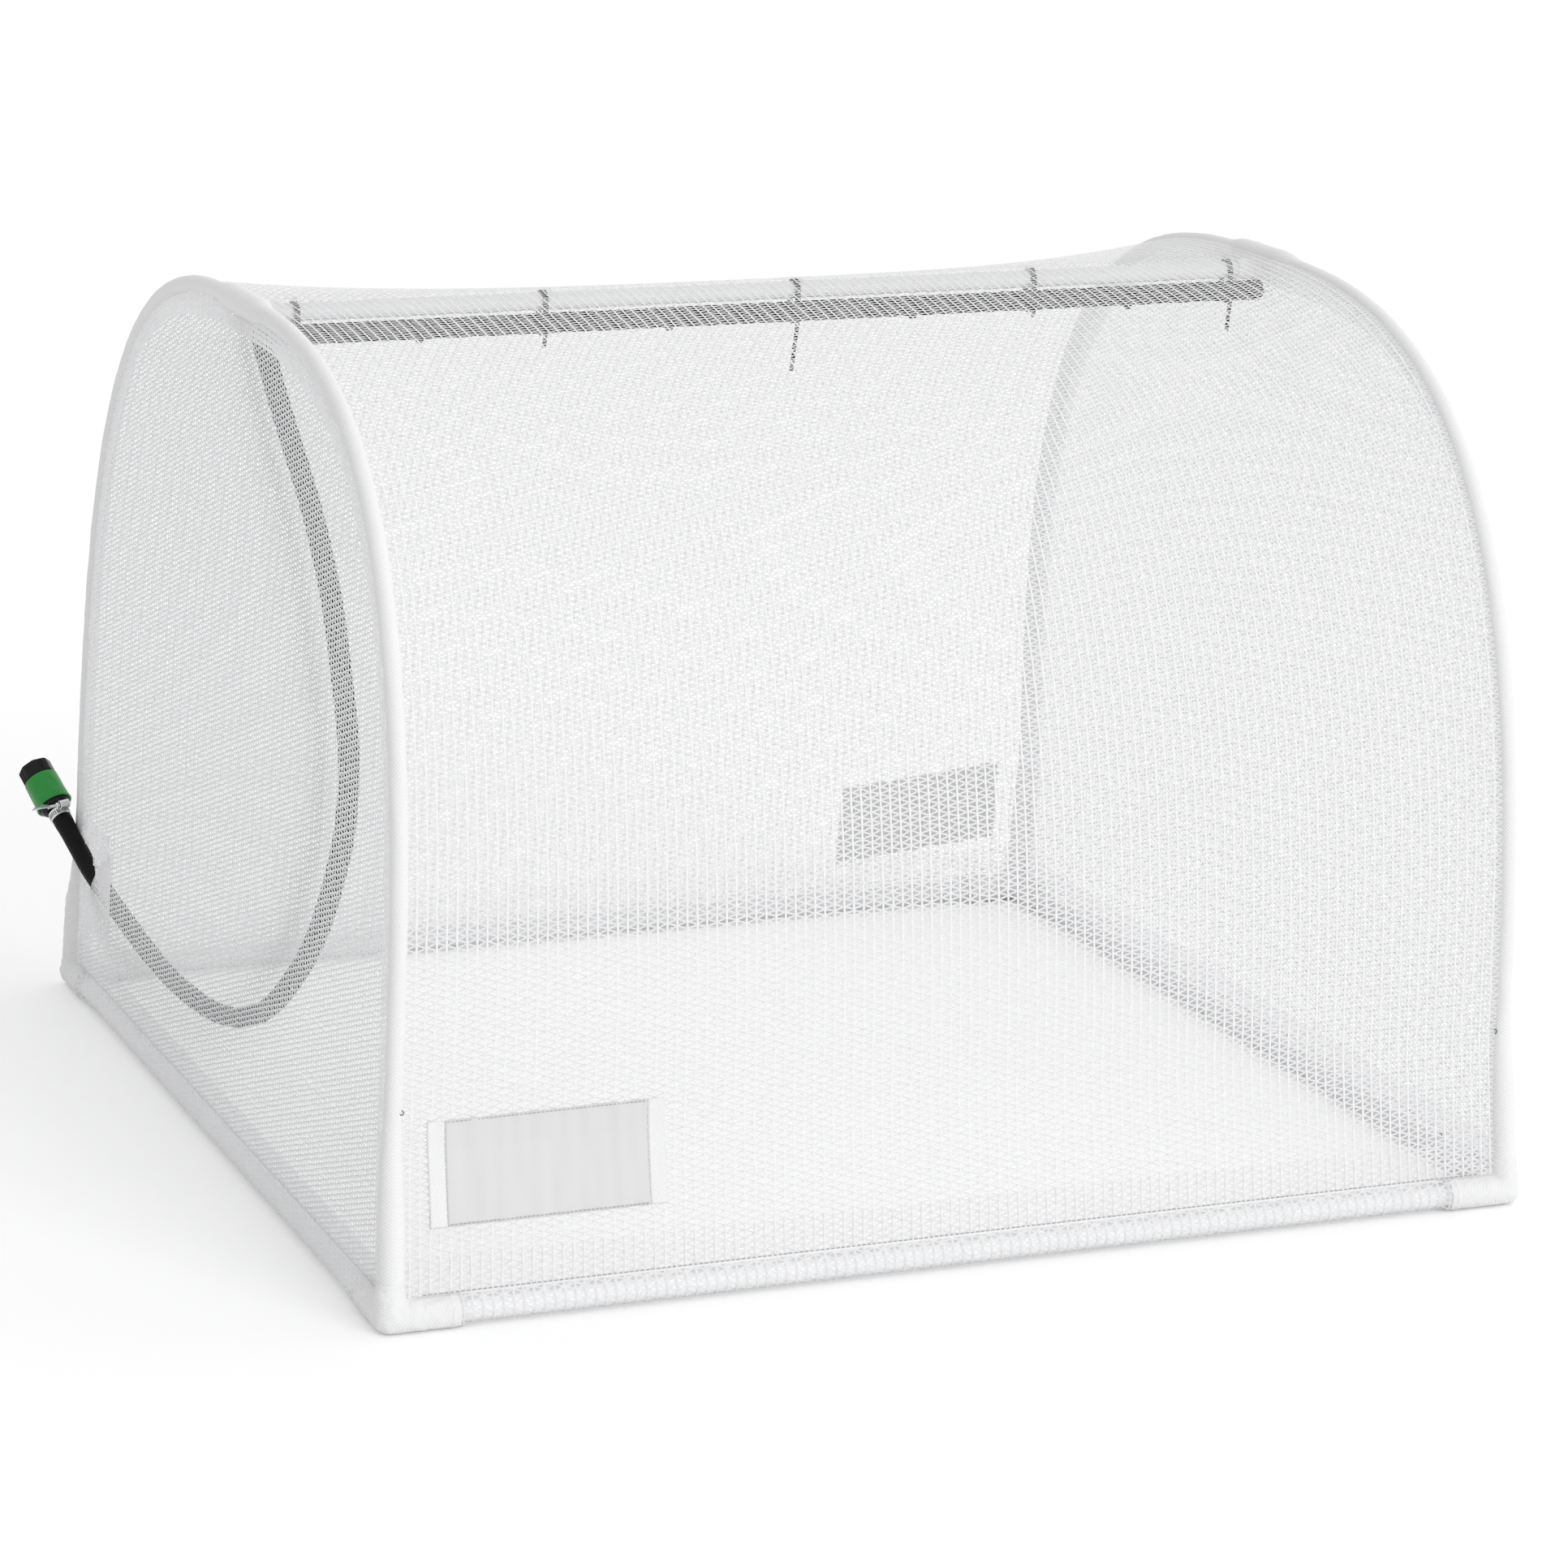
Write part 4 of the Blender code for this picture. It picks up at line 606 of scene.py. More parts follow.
screw = spun([(0.0, -SCREW_TAIL), (SCREW_RADIUS - 0.0008, -SCREW_TAIL),
              (SCREW_RADIUS - 0.0004, -SCREW_TAIL + 0.0006), (SCREW_RADIUS - 0.0004, half_barrel),
              (SCREW_RADIUS, half_barrel + 0.0012), (SCREW_RADIUS, half_barrel + 0.0030),
              (SHANK_RADIUS, half_barrel + 0.0036), (SHANK_RADIUS, SCREW_REACH - 0.0010),
              (0.0, SCREW_REACH)], steps=32, closed=False)
wing = bmesh.ops.create_circle(screw, cap_ends=True, segments=36, radius=1.0)["verts"]
for vert in wing:
    along, side_way = (1 + vert.co.x) / 2, vert.co.y
    leaf = sin(pi * along ** 0.8) ** 0.75 * (1 - 0.25 * along)
    vert.co = Vector((0.0016 * sin(pi * along), side_way * 0.55 * WING_WIDTH * max(leaf, 0.12),
                      SCREW_REACH - 0.0040 + (WING_LENGTH + 0.0020) * along))
pressed = bmesh.ops.extrude_face_region(screw, geom=list(wing[0].link_faces))["geom"]
bmesh.ops.translate(screw, vec=(WING_THICKNESS, 0, 0),
                    verts=[item for item in pressed if isinstance(item, bmesh.types.BMVert)])
settle(finished("clamp_thumbscrew", screw,
                screw_place @ Matrix.Rotation(radians(WING_TURN), 4, "Z")),
       [steel], "screw", ["clamp_screw"])

# Frame
# White tube and rod that plug together: four base rails, two hoops of two rods each, a
# ridge pole, and moulded elbows and tees. All of it is inside or behind the fabric.
white_plastic = grained("white_plastic", (0.86, 0.865, 0.87), 0.42, scale=300, tone=0.05, bump=0.03)


def refinish(starts, finish):
    """Give a finish to every solid whose name starts with one of these."""
    for name in [name for name in nodes if name.startswith(starts)]:
        nodes[name].data.materials.clear()
        nodes[name].data.materials.append(finish)


refinish(("base_rail", "hoop_rod", "corner_elbow", "ridge_tee", "ridge_pole"), white_plastic)

# Misting line
# A straight length of the same hose under the ridge pole, with four black jets, an end
# plug and the elbow to the drop hose, all tied up with black cable ties.
refinish("mist_hose", black_rubber_hose)
refinish(("mist_jet", "hose_e", "cable_tie"), black_nylon)

# Knitted netting
# White warp-knitted net: upright chains of loops, 8.6 mm apart in the main sheet, joined by
# flat inlaid tapes that slant to and fro and leave small three-cornered holes.
HALF_DEPTH = 0.522
BASE_HEIGHT = 0.0127
KNEE_HALF_DEPTH = 0.505
KNEE_HEIGHT = 0.143
HOOP_ROUNDNESS = 2.94
HEM_BOTTOM = 0.0274
SLEEVE_RADIUS = 0.0075
SHEET_OUTSIDE_HOOP = 0.004
SHEET_SAG = 0.038
SAG_CLIMB_POWER = 1.6
SAG_ACROSS_POWER = 2.4
RIDGE_DROP = 0.0035
RIDGE_POWER = 12
RIDGE_RISE_LENGTH = 0.10
NET_TUCK = 0.002
THREAD_OUT = (0.0003, 0.0, -0.0003)
WALE_SWAY = 0.018
COURSE_SLIP = 0.065
LOOP_HEIGHT = 0.35
THREAD_GRAIN = 260.0
GRAIN_RANGE = (0.3, 0.7)
THREAD_TONES = (0.94, 1.03)

arch_angle = np.linspace(0, pi / 2, 400)
leg_share = np.linspace(0, 1, 20)[:-1]
line_depth = np.concatenate([HALF_DEPTH + leg_share * (KNEE_HALF_DEPTH - HALF_DEPTH),
                             KNEE_HALF_DEPTH * np.clip(np.cos(arch_angle), 0, 1) ** (2 / HOOP_ROUNDNESS)])
line_height = np.concatenate([BASE_HEIGHT + leg_share * (KNEE_HEIGHT - BASE_HEIGHT),
                              KNEE_HEIGHT + (HOOP_HEIGHT - KNEE_HEIGHT)
                              * np.sin(arch_angle) ** (2 / HOOP_ROUNDNESS)])
line_run = np.concatenate([[0], np.cumsum(np.hypot(np.diff(line_depth), np.diff(line_height)))])
crown_run = line_run[-1]
line_out = np.stack([np.gradient(line_height, line_run), -np.gradient(line_depth, line_run)])
line_out /= np.hypot(*line_out)


def run_at(height):
    return np.interp(height, line_height, line_run)


def arch(along):
    """The hoop's line at distances from its crown: depth, height and outward direction."""
    run, end = crown_run - np.abs(along), np.sign(along)
    depth, height, out_depth, out_height = [np.interp(run, line_run, values)
                                            for values in (line_depth, line_height, *line_out)]
    return end * depth, height, end * out_depth, out_height


def hoop_x(side, height):
    lean = LEAN_LEFT if side < 0 else 0.0
    return side * (HALF_WIDTH - lean * height / HOOP_HEIGHT)


def on_sheet(x, along, out):
    """Points on the main sheet at a place across, and at a distance along from the crown."""
    depth, height, out_depth, out_height = arch(along)
    left, right = hoop_x(-1, height), hoop_x(1, height)
    across = np.abs(2 * (x - left) / (right - left) - 1)
    hem_run = run_at(HEM_BOTTOM)
    climb = np.clip((crown_run - np.abs(along) - hem_run) / (crown_run - hem_run), 0, 1)
    belly = SHEET_SAG * np.sin(pi * climb ** SAG_CLIMB_POWER) * (1 - across ** SAG_ACROSS_POWER)
    from_hoop = np.minimum((1 - across) * (right - left) / 2 / RIDGE_RISE_LENGTH, 1)
    sag = belly + RIDGE_DROP * climb ** RIDGE_POWER * np.sin(from_hoop * pi / 2)
    offset = SHEET_OUTSIDE_HOOP + out - sag
    return np.stack([x + 0 * offset, depth + out_depth * offset, height + out_height * offset], axis=-1)


def read_points(mesh):
    """A mesh's points, one in a row."""
    flat = np.zeros(len(mesh.vertices) * 3, np.float32)
    mesh.vertices.foreach_get("co", flat)
    return flat.reshape(-1, 3)


def map_cloth(mesh, places):
    """Lay the map that the cloths' finishes follow, with a place on it for each point."""
    corners = np.zeros(len(mesh.loops), np.int32)
    mesh.loops.foreach_get("vertex_index", corners)
    mesh.uv_layers.new(name="cloth").uv.foreach_set("vector", places[corners].astype(np.float32).ravel())


def eased(share):
    """A share held to 0 and 1, with soft ends."""
    share = np.clip(share, 0, 1)
    return share * share * (3 - 2 * share)


def knit(name, wales, courses, place, seed, chain_share, tape_share, keep=None):
    """Knit a net: chains and two slanting tapes, from grids with every other strip cut out.

    place(wale, course, out) turns counts of wales and courses into points. The shares are
    the widths of a chain and a tape in wales and courses.
    """
    random = np.random.default_rng(seed)
    mesh_data = bmesh.new()
    for kind, (columns, rows) in enumerate(((2 * wales + 1, courses), (wales, 2 * courses + 1),
                                            (wales, 2 * courses + 1))):
        made = bmesh.ops.create_grid(mesh_data, x_segments=columns, y_segments=rows, size=0.5)["verts"]
        bmesh.ops.translate(mesh_data, vec=(0, 0, kind), verts=made)
        strips, axis = (columns, 0) if kind == 0 else (rows, 1)
        gaps = [face for face in {face for vert in made for face in vert.link_faces}
                if int((face.calc_center_median()[axis] + 0.5) * strips) % 2]
        bmesh.ops.delete(mesh_data, geom=gaps, context="FACES")
    for face in mesh_data.faces:
        face.material_index = min(round(face.calc_center_median().z), 1)
        face.smooth = True
    mesh = bpy.data.meshes.new(name)
    mesh_data.to_mesh(mesh)

    x, y, kind = read_points(mesh).T.astype(float)
    kind = np.rint(kind).astype(int)
    column = np.rint((x + 0.5) * np.where(kind == 0, 2 * wales + 1, wales)).astype(int)
    row = np.rint((y + 0.5) * np.where(kind == 0, courses, 2 * courses + 1)).astype(int)
    chain, tape = np.where(kind == 0, column // 2, column), np.where(kind == 0, row, row // 2)
    edge = np.where(kind == 0, column % 2, row % 2)
    sway = random.normal(0, WALE_SWAY, (wales + 2, courses + 2))
    slip = random.normal(0, COURSE_SLIP, (3, wales + 2, courses + 2))
    wale = chain + np.where(kind == 0, (edge - 0.5) * chain_share, 0) + sway[chain, tape]
    slant = np.where(chain % 2, 0.5, 0.0) * np.where(kind == 1, 1, -1)
    course = tape + np.where(kind == 0, 0, (edge - 0.5) * tape_share + slant + slip[kind, chain, tape])
    points = place(wale, np.clip(course, 0, courses), np.array(THREAD_OUT)[kind])
    mesh.vertices.foreach_set("co", points.astype(np.float32).ravel())
    map_cloth(mesh, np.stack([edge, np.where(kind == 0, course, wale)], -1))
    mesh_data.clear()
    mesh_data.from_mesh(mesh)
    if keep is not None:
        cut = [vert for vert, stays in zip(mesh_data.verts, keep(points)) if not stays]
        bmesh.ops.delete(mesh_data, geom=cut, context="VERTS")
    mesh_data.to_mesh(mesh)
    mesh_data.free()
    return bpy.data.objects.new(name, mesh)


def thread_finish(name, colour, roughness, loops, relief, see_through):
    """Knitted thread: a round section with loops along it, tones that change, and light let through."""
    finish, tree, shader = new_finish(name)
    thread_map = add_node(tree, "ShaderNodeUVMap", uv_map="cloth").outputs["UV"]
    pair = add_node(tree, "ShaderNodeSeparateXYZ", {"Vector": thread_map}).outputs
    crown = combine(tree, "SINE", combine(tree, "MULTIPLY", pair["X"], pi))
    links = combine(tree, "SINE", combine(tree, "MULTIPLY", pair["Y"], tau * loops))
    height = combine(tree, "MULTIPLY_ADD", links, LOOP_HEIGHT, crown)
    shade = ranged(tree, speckle(tree, THREAD_GRAIN, 2.0), *GRAIN_RANGE, *THREAD_TONES)
    feed(tree, shader.inputs, {
        "Base Color": scaled(tree, colour, shade), "Normal": raised(tree, height, 0.5, relief),
        "Roughness": roughness, "Specular IOR Level": 0.35})
    through = add_node(tree, "ShaderNodeBsdfTranslucent", {"Color": (*colour, 1)})
    both = add_node(tree, "ShaderNodeMixShader", {0: see_through, 1: shader.outputs[0],
                                                  2: through.outputs[0]})
    tree.links.new(both.outputs[0], tree.nodes["Material Output"].inputs["Surface"])
    return finish


# Main sheet
# One net up the front, over the ridge and down the rear, knitted in two halves here. Its
# long edges run into the sleeves.
SHEET_WALES = 114
SHEET_COURSES = 174
SHEET_THREADS = (0.21, 0.25)
CHAIN_SEE_THROUGH = 0.34
TAPE_SEE_THROUGH = 0.52

sheet_finishes = [thread_finish("sheet_chain", (0.98, 0.98, 0.985), 0.45, 2, 0.0005, CHAIN_SEE_THROUGH),
                  thread_finish("sheet_tape", (0.92, 0.92, 0.925), 0.50, 1, 0.0002, TAPE_SEE_THROUGH)]
sheet_reach = crown_run - run_at(HEM_BOTTOM)
sheet_course = sheet_reach / SHEET_COURSES


def sheet_net(first_course, out_more=0.0):
    """A place for knit on the main sheet, counting courses from a distance along it."""
    def place(wale, course, out):
        along = first_course + course * sheet_course
        height = arch(along)[1]
        left, right = hoop_x(-1, height), hoop_x(1, height)
        tuck = SLEEVE_RADIUS - NET_TUCK
        x = left + tuck + wale / SHEET_WALES * (right - left - 2 * tuck)
        return on_sheet(x, along, out + out_more)
    return place


for name, first_course, seed in (("front", -sheet_reach, 3), ("rear", 0.0, 4)):
    net = knit(f"net_{name}", SHEET_WALES, SHEET_COURSES, sheet_net(first_course), seed, *SHEET_THREADS)
    settle(net, sheet_finishes, stands_for=["mesh_sheet"])

# End panels
# A closer and duller net in each D-shaped end; its grey is painted shade. The left one is cut away round
# the hose.
PANEL_OUTSIDE_HOOP = 0.003
PANEL_WALE = 0.0068
PANEL_COURSE = 0.0047
PANEL_WALES = 153
PANEL_COURSES = 152
PANEL_THREADS = (0.30, 0.36)
PANEL_SEE_THROUGH = 0.48
DOUBLE_SEE_THROUGH = 0.55
ARCH_INSET = 0.0045
SLIT_MARGIN = 0.004
SLIT_FIRST_POINT = 60
SLIT_DEPTH = 0.009
SLIT_OPENS = (0, -0.011, 0.002)

# Greyer chains and tapes than the main sheet's: painted shade for the end panels, which get less light.
panel_shade_finishes = [thread_finish("panel_chain_shaded", (0.90, 0.905, 0.91), 0.50, 2, 0.0006, PANEL_SEE_THROUGH),
                  thread_finish("panel_tape_shaded", (0.87, 0.875, 0.88), 0.55, 1, 0.0002, PANEL_SEE_THROUGH)]
# Lighter chains and tapes for the doubled net of pockets, turn-ups, facings and flaps: the doubling is
# real, the extra lightness is painted light where they lie in shade.
doubled_lit_finishes = [thread_finish("double_chain_lit", (0.98, 0.98, 0.985), 0.50, 2, 0.0004, DOUBLE_SEE_THROUGH),
                   thread_finish("double_tape_lit", (0.97, 0.97, 0.975), 0.50, 1, 0.0002, DOUBLE_SEE_THROUGH)]


def panel_net(side, out_more=0.0):
    """A place for knit in an end panel's plane."""
    def place(wale, course, out):
        y = side * (wale - PANEL_WALES / 2) * PANEL_WALE
        z = HEM_BOTTOM + course * PANEL_COURSE
        return np.stack([hoop_x(side, z) + side * (PANEL_OUTSIDE_HOOP + out + out_more), y, z], -1)
    return place


def inside_arch(points):
    edge_depth = line_depth - line_out[0] * ARCH_INSET
    edge_height = line_height - line_out[1] * ARCH_INSET
    return np.abs(points[:, 1]) < np.interp(points[:, 2], edge_height, edge_depth, right=0.0)


slit_line = np.array([place[:] for place, swell in hose_places[SLIT_FIRST_POINT:]])
slit_line = np.concatenate([slit_line, slit_line[slit_line[:, 0] < -HALF_WIDTH + SLIT_DEPTH] + SLIT_OPENS])


def clear_of_hose(points):
    """Where a panel's net stays: within the arch, and clear of the slit that the hose opens."""
    gap = np.min(np.linalg.norm(points[:, None, :] - slit_line[None], axis=2), axis=1)
    return inside_arch(points) & (gap > HOSE_RADIUS + SLIT_MARGIN)


panel_nets = {}
for side, side_name, keep, seed in ((-1, "left", clear_of_hose, 5), (1, "right", inside_arch, 6)):
    net = knit(f"net_{side_name}", PANEL_WALES, PANEL_COURSES, panel_net(side), seed, *PANEL_THREADS,
               keep=keep)
    panel_nets[side_name] = settle(net, panel_shade_finishes,
                                   stands_for=[f"end_panel_{side_name}"])

# Hem pockets
# Each base rail lies in a pocket of the net, drawn in under a row of stitches. It is wider
# where it is pulled over an elbow's arm, and a second layer is turned up inside.
POCKET_RADIUS = 0.0109
OVER_ELBOW_RADIUS = 0.0143
ELBOW_ARM = 0.055
POCKET_COURSES = 14
HEM_COURSES = 5
HEM_INSIDE = -0.0014
HEM_THREADS = (0.26, 0.32)
SEAM_ABOVE_HEM = 0.0010
SEAM_FROM_CORNER = 0.028
STITCH_LENGTH = 0.0030
STITCH_PITCH = 0.0046
STITCH_WIDTH = 0.0008
STITCH_HEIGHT = 0.0006
FLOOR_GAP = 0.0003
SHEET_POCKET = (0.049, 0.012)
PANEL_POCKET = (0.026, 0.070)
PANEL_SEAM_OUT = {"left": 0.0017, "right": 0.0030}


def stitches(name, places, normal, thread, length=STITCH_LENGTH):
    """A row of lock stitches: a short bar at each place, lying along the row."""
    mesh_data = bmesh.new()
    for i, place in enumerate(places):
        along = places[min(i + 1, len(places) - 1)] - places[max(i - 1, 0)]
        size = Matrix.Diagonal((STITCH_HEIGHT, STITCH_WIDTH, length, 1))
        bmesh.ops.create_cube(mesh_data, size=1.0, matrix=aim(place, along, normal) @ size)
    return settle(finished(name, mesh_data), [thread])


# Grey stitches, paler on the left end: painted shade for the needle holes and the shadow along each row of
# white thread.
seam_shade_thread = grained("seam_shade_thread", (0.42, 0.42, 0.43), 0.7, scale=1500, bump=0.1)
pale_shade_thread = grained("pale_shade_thread", (0.78, 0.78, 0.79), 0.7, scale=1500, bump=0.1)
sheet_wale = (hoop_x(1, HEM_BOTTOM) - hoop_x(-1, HEM_BOTTOM) - 2 * (SLEEVE_RADIUS - NET_TUCK)) / SHEET_WALES
sewn_on = {name: [] for name in ("front", "rear", "left", "right")}
for name, outward, to_rail, half_rail, seam_out, pitch, from_corner, widening in (
        ("front", (0, -1, 0), HALF_DEPTH, HALF_WIDTH, SHEET_OUTSIDE_HOOP, sheet_wale, *SHEET_POCKET),
        ("rear", (0, 1, 0), HALF_DEPTH, HALF_WIDTH, SHEET_OUTSIDE_HOOP, sheet_wale, *SHEET_POCKET),
        ("left", (-1, 0, 0), HALF_WIDTH, HALF_DEPTH, PANEL_SEAM_OUT["left"], PANEL_WALE, *PANEL_POCKET),
        ("right", (1, 0, 0), HALF_WIDTH, HALF_DEPTH, PANEL_SEAM_OUT["right"], PANEL_WALE, *PANEL_POCKET)):
    outward = Vector(outward)
    line = np.array(Vector((0, 0, 1)).cross(outward))
    centre = np.array(outward * to_rail + Vector((0, 0, BASE_HEIGHT)))
    seam_up = HEM_BOTTOM - BASE_HEIGHT
    half_wales = int((half_rail - from_corner) / pitch)

    def round_rail(wale, course, out):
        level = (wale - half_wales) * pitch
        wide = eased((np.abs(level) - half_rail + ELBOW_ARM + widening) / widening)
        radius = POCKET_RADIUS + wide * (OVER_ELBOW_RADIUS - POCKET_RADIUS) + out
        turn = tau * np.clip(course / POCKET_COURSES, 0, 1)
        drawn_in = np.arccos(radius / np.hypot(seam_out, seam_up)) - np.minimum(turn, tau - turn)
        reach = radius / np.cos(np.maximum(drawn_in, 0))
        angle = np.arctan2(seam_up, seam_out) + turn
        points = centre + level[:, None] * line + (reach * np.cos(angle))[:, None] * np.array(outward)
        points[:, 2] = np.maximum(points[:, 2] + reach * np.sin(angle), FLOOR_GAP)
        return points

    is_end = name in panel_nets
    side = 1 if name == "right" else -1
    pocket = knit(f"pocket_{name}", 2 * half_wales, POCKET_COURSES, round_rail, 7,
                  *(PANEL_THREADS if is_end else HEM_THREADS))
    settle(pocket, doubled_lit_finishes, stands_for=[f"hem_pocket_{name}"])
    seam_levels = np.arange(SEAM_FROM_CORNER - half_rail, half_rail - SEAM_FROM_CORNER, STITCH_PITCH)
    if is_end:
        band = knit(f"turn_up_{name}", PANEL_WALES, HEM_COURSES, panel_net(side, HEM_INSIDE), 9,
                    *PANEL_THREADS, keep=clear_of_hose if side < 0 else inside_arch)
        seam_x = hoop_x(side, HEM_BOTTOM) + side * (PANEL_OUTSIDE_HOOP + STITCH_HEIGHT)
        seam = [Vector((seam_x, level, HEM_BOTTOM + SEAM_ABOVE_HEM)) for level in seam_levels]
    else:
        end = 1 if name == "rear" else -1
        first = -sheet_reach if end < 0 else sheet_reach - HEM_COURSES * sheet_course
        band = knit(f"turn_up_{name}", SHEET_WALES, HEM_COURSES, sheet_net(first, HEM_INSIDE), 8,
                    *HEM_THREADS)
        seam = [Vector(on_sheet(level, end * (sheet_reach - SEAM_ABOVE_HEM), STITCH_HEIGHT))
                for level in seam_levels]
    settle(band, doubled_lit_finishes, stands_for=[f"hem_tape_{name}"])
    row = stitches(f"hem_seam_{name}", seam, outward, pale_shade_thread if name == "left" else seam_shade_thread)
    sewn_on[name] += [pocket, band, row]

# Sleeves
# A white cloth channel sewn along each curved edge round the hoop, wider where it covers an
# elbow's post or the tee. Inside it a facing of doubled net stiffens the end panel's edge.
SLEEVE_WALL = 0.0010
SLEEVE_FOOT_RUN = 0.0202
WIDE_SLEEVE_RADIUS = 0.01127
ELBOW_TOP_RUN = 0.0666
TEE_REACH = 0.0406
ELBOW_RAMP = 0.110
TEE_RAMP = 0.030
SLEEVE_RUMPLE = 0.0004
SLEEVE_RUMPLE_SIZE = 0.016
FACING_OUT = 0.0010
FACING_WALES = 4
FACING_WALE = 0.0048
FACING_COURSE = 0.0052
FACING_THREADS = (0.55, 0.46)
CLOTH_WALL = 0.0006
WEAVE_TONE = 0.02
SOIL_GRAIN = 38.0

WEAVE, given, result = shader_group(
    "weave", [("Colour", "Color", (1, 1, 1, 1)), ("Threads", "Float", 1400.0), ("Soil", "Float", 0.05)],
    [("Colour", "Color"), ("Height", "Float")])
weave_map = add_node(WEAVE, "ShaderNodeUVMap", uv_map="cloth").outputs["UV"]
pair = add_node(WEAVE, "ShaderNodeSeparateXYZ", {
    "Vector": scaled(WEAVE, weave_map, given["Threads"])}).outputs
waves = [combine(WEAVE, "SINE", combine(WEAVE, "MULTIPLY", pair[axis], tau)) for axis in ("X", "Y")]
crossing = combine(WEAVE, "MULTIPLY", *waves)
soil = combine(WEAVE, "MULTIPLY", speckle(WEAVE, SOIL_GRAIN, 3.0), given["Soil"])
shade = combine(WEAVE, "SUBTRACT", combine(WEAVE, "MULTIPLY_ADD", crossing, WEAVE_TONE, 1.0), soil)
feed(WEAVE, result, {"Colour": scaled(WEAVE, given["Colour"], shade), "Height": crossing})


def woven(name, colour, roughness, threads, soil=0.03, relief=0.00015):
    """A closely woven cloth."""
    finish, tree, shader = new_finish(name)
    weave = add_node(tree, "ShaderNodeGroup", {"Colour": (*colour, 1), "Threads": threads, "Soil": soil},
                     node_tree=WEAVE).outputs
    feed(tree, shader.inputs, {
        "Base Color": weave["Colour"], "Normal": raised(tree, weave["Height"], 0.5, relief),
        "Roughness": roughness, "Specular IOR Level": 0.3})
    return finish


def thicken(piece, wall, offset=-1):
    """Give a skin of cloth its wall, on its inner side unless told otherwise."""
    thickness = piece.modifiers.new("thickness", "SOLIDIFY")
    thickness.thickness = wall
    thickness.offset = offset
    return piece


def skin(name, columns, rows, place, size, wall, offset=-1, closed=False):
    """A sheet of cloth: place(across, along) turns shares of its size into points."""
    mesh_data = bmesh.new()
    mesh_data.loops.layers.uv.new("cloth")
    bmesh.ops.create_grid(mesh_data, x_segments=columns, y_segments=rows, size=0.5, calc_uvs=True)
    mesh = bpy.data.meshes.new(name)
    mesh_data.to_mesh(mesh)
    x, y = read_points(mesh).T[:2].astype(float)
    points = place(x + 0.5, y + 0.5)
    mesh.vertices.foreach_set("co", points.astype(np.float32).ravel())
    cloth_map = np.zeros(len(mesh.loops) * 2, np.float32)
    mesh.uv_layers["cloth"].uv.foreach_get("vector", cloth_map)
    cloth_map = cloth_map.reshape(-1, 2) * np.array(size, np.float32)
    mesh.uv_layers["cloth"].uv.foreach_set("vector", cloth_map.ravel())
    mesh_data.clear()
    mesh_data.from_mesh(mesh)
    if closed:
        bmesh.ops.remove_doubles(mesh_data, verts=mesh_data.verts, dist=1e-5)
    mesh_data.to_mesh(mesh)
    mesh_data.free()
    mesh.shade_smooth()
    return thicken(bpy.data.objects.new(name, mesh), wall, offset)


def rumple(points, size, height, seed=0.0):
    """A gentle unevenness at points: smooth noise of a size and a height in metres."""
    return height * np.array([noise.noise(Vector(point) / size + Vector((seed, seed, seed)))
                              for point in points])


white_cloth = woven("white_cloth", (0.90, 0.90, 0.905), 0.75, 330, relief=0.0004)
sleeve_reach = crown_run - SLEEVE_FOOT_RUN
facing_courses = round(2 * sheet_reach / FACING_COURSE)
for side, side_name in ((-1, "left"), (1, "right")):
    def round_hoop(across, along):
        reach = (2 * along - 1) * sleeve_reach
        depth, height, out_depth, out_height = arch(reach)
        run = crown_run - np.abs(reach)
        over_elbow = 1 - (run - ELBOW_TOP_RUN) / ELBOW_RAMP
        over_tee = 1 - (crown_run - TEE_REACH - run) / TEE_RAMP
        wide = eased(np.maximum(over_elbow, over_tee))
        angle = across * tau
        centre = np.stack([hoop_x(side, height), depth, height], -1)
        radius = SLEEVE_RADIUS + wide * (WIDE_SLEEVE_RADIUS - SLEEVE_RADIUS)
        radius = radius + rumple(centre + 0.02 * np.cos(angle)[:, None], SLEEVE_RUMPLE_SIZE,
                                 SLEEVE_RUMPLE, side)
        spoke = np.stack([np.sin(angle), np.cos(angle) * out_depth, np.cos(angle) * out_height], -1)
        return centre + radius[:, None] * spoke

    def facing(wale, course, out):
        reach = side * (2 * course / facing_courses - 1) * sheet_reach
        depth, height, out_depth, out_height = arch(reach)
        inset = SLEEVE_RADIUS - NET_TUCK + FACING_WALE * (FACING_WALES - wale)
        z = np.maximum(height - out_height * inset, HEM_BOTTOM)
        x = hoop_x(side, z) + side * (PANEL_OUTSIDE_HOOP + FACING_OUT + out)
        return np.stack([x, depth - out_depth * inset, z], -1)

    sleeve = skin(f"sleeve_{side_name}", 24, 300, round_hoop, (tau * SLEEVE_RADIUS, 2 * sleeve_reach),
                  SLEEVE_WALL, closed=True)
    settle(sleeve, [white_cloth], stands_for=[f"hoop_sleeve_{side_name}"])
    band = knit(f"facing_{side_name}", FACING_WALES, facing_courses, facing, 10 + side, *FACING_THREADS)
    settle(band, doubled_lit_finishes)
    sewn_on[side_name] += [sleeve, band]

# Labels
# A bare grey patch at the front, with a white tape down each side, and one at the rear, a
# little askew. Each is sewn along its edges and lightly creased.
LABEL_OUT = 0.0012
LABEL_CREASE = 0.0011
LABEL_CREASE_SIZE = 0.011
FRONT_LABEL = (-0.450, -0.279, 0.081, 0.168)
LABEL_TAPE = 0.015
LABEL_TAPE_GAP = 0.0006
LABEL_SEAM_IN = 0.0016
LABEL_SEAM_OUT = 0.0009
LABEL_SEAM_ENDS = (0.003, 0.002)
LABEL_STITCH_LENGTH = 0.0022
LABEL_STITCH_PITCH = 0.0036
REAR_LABEL = (0.297, 0.470, 0.061, 0.143)
REAR_LABEL_RISE = 0.09

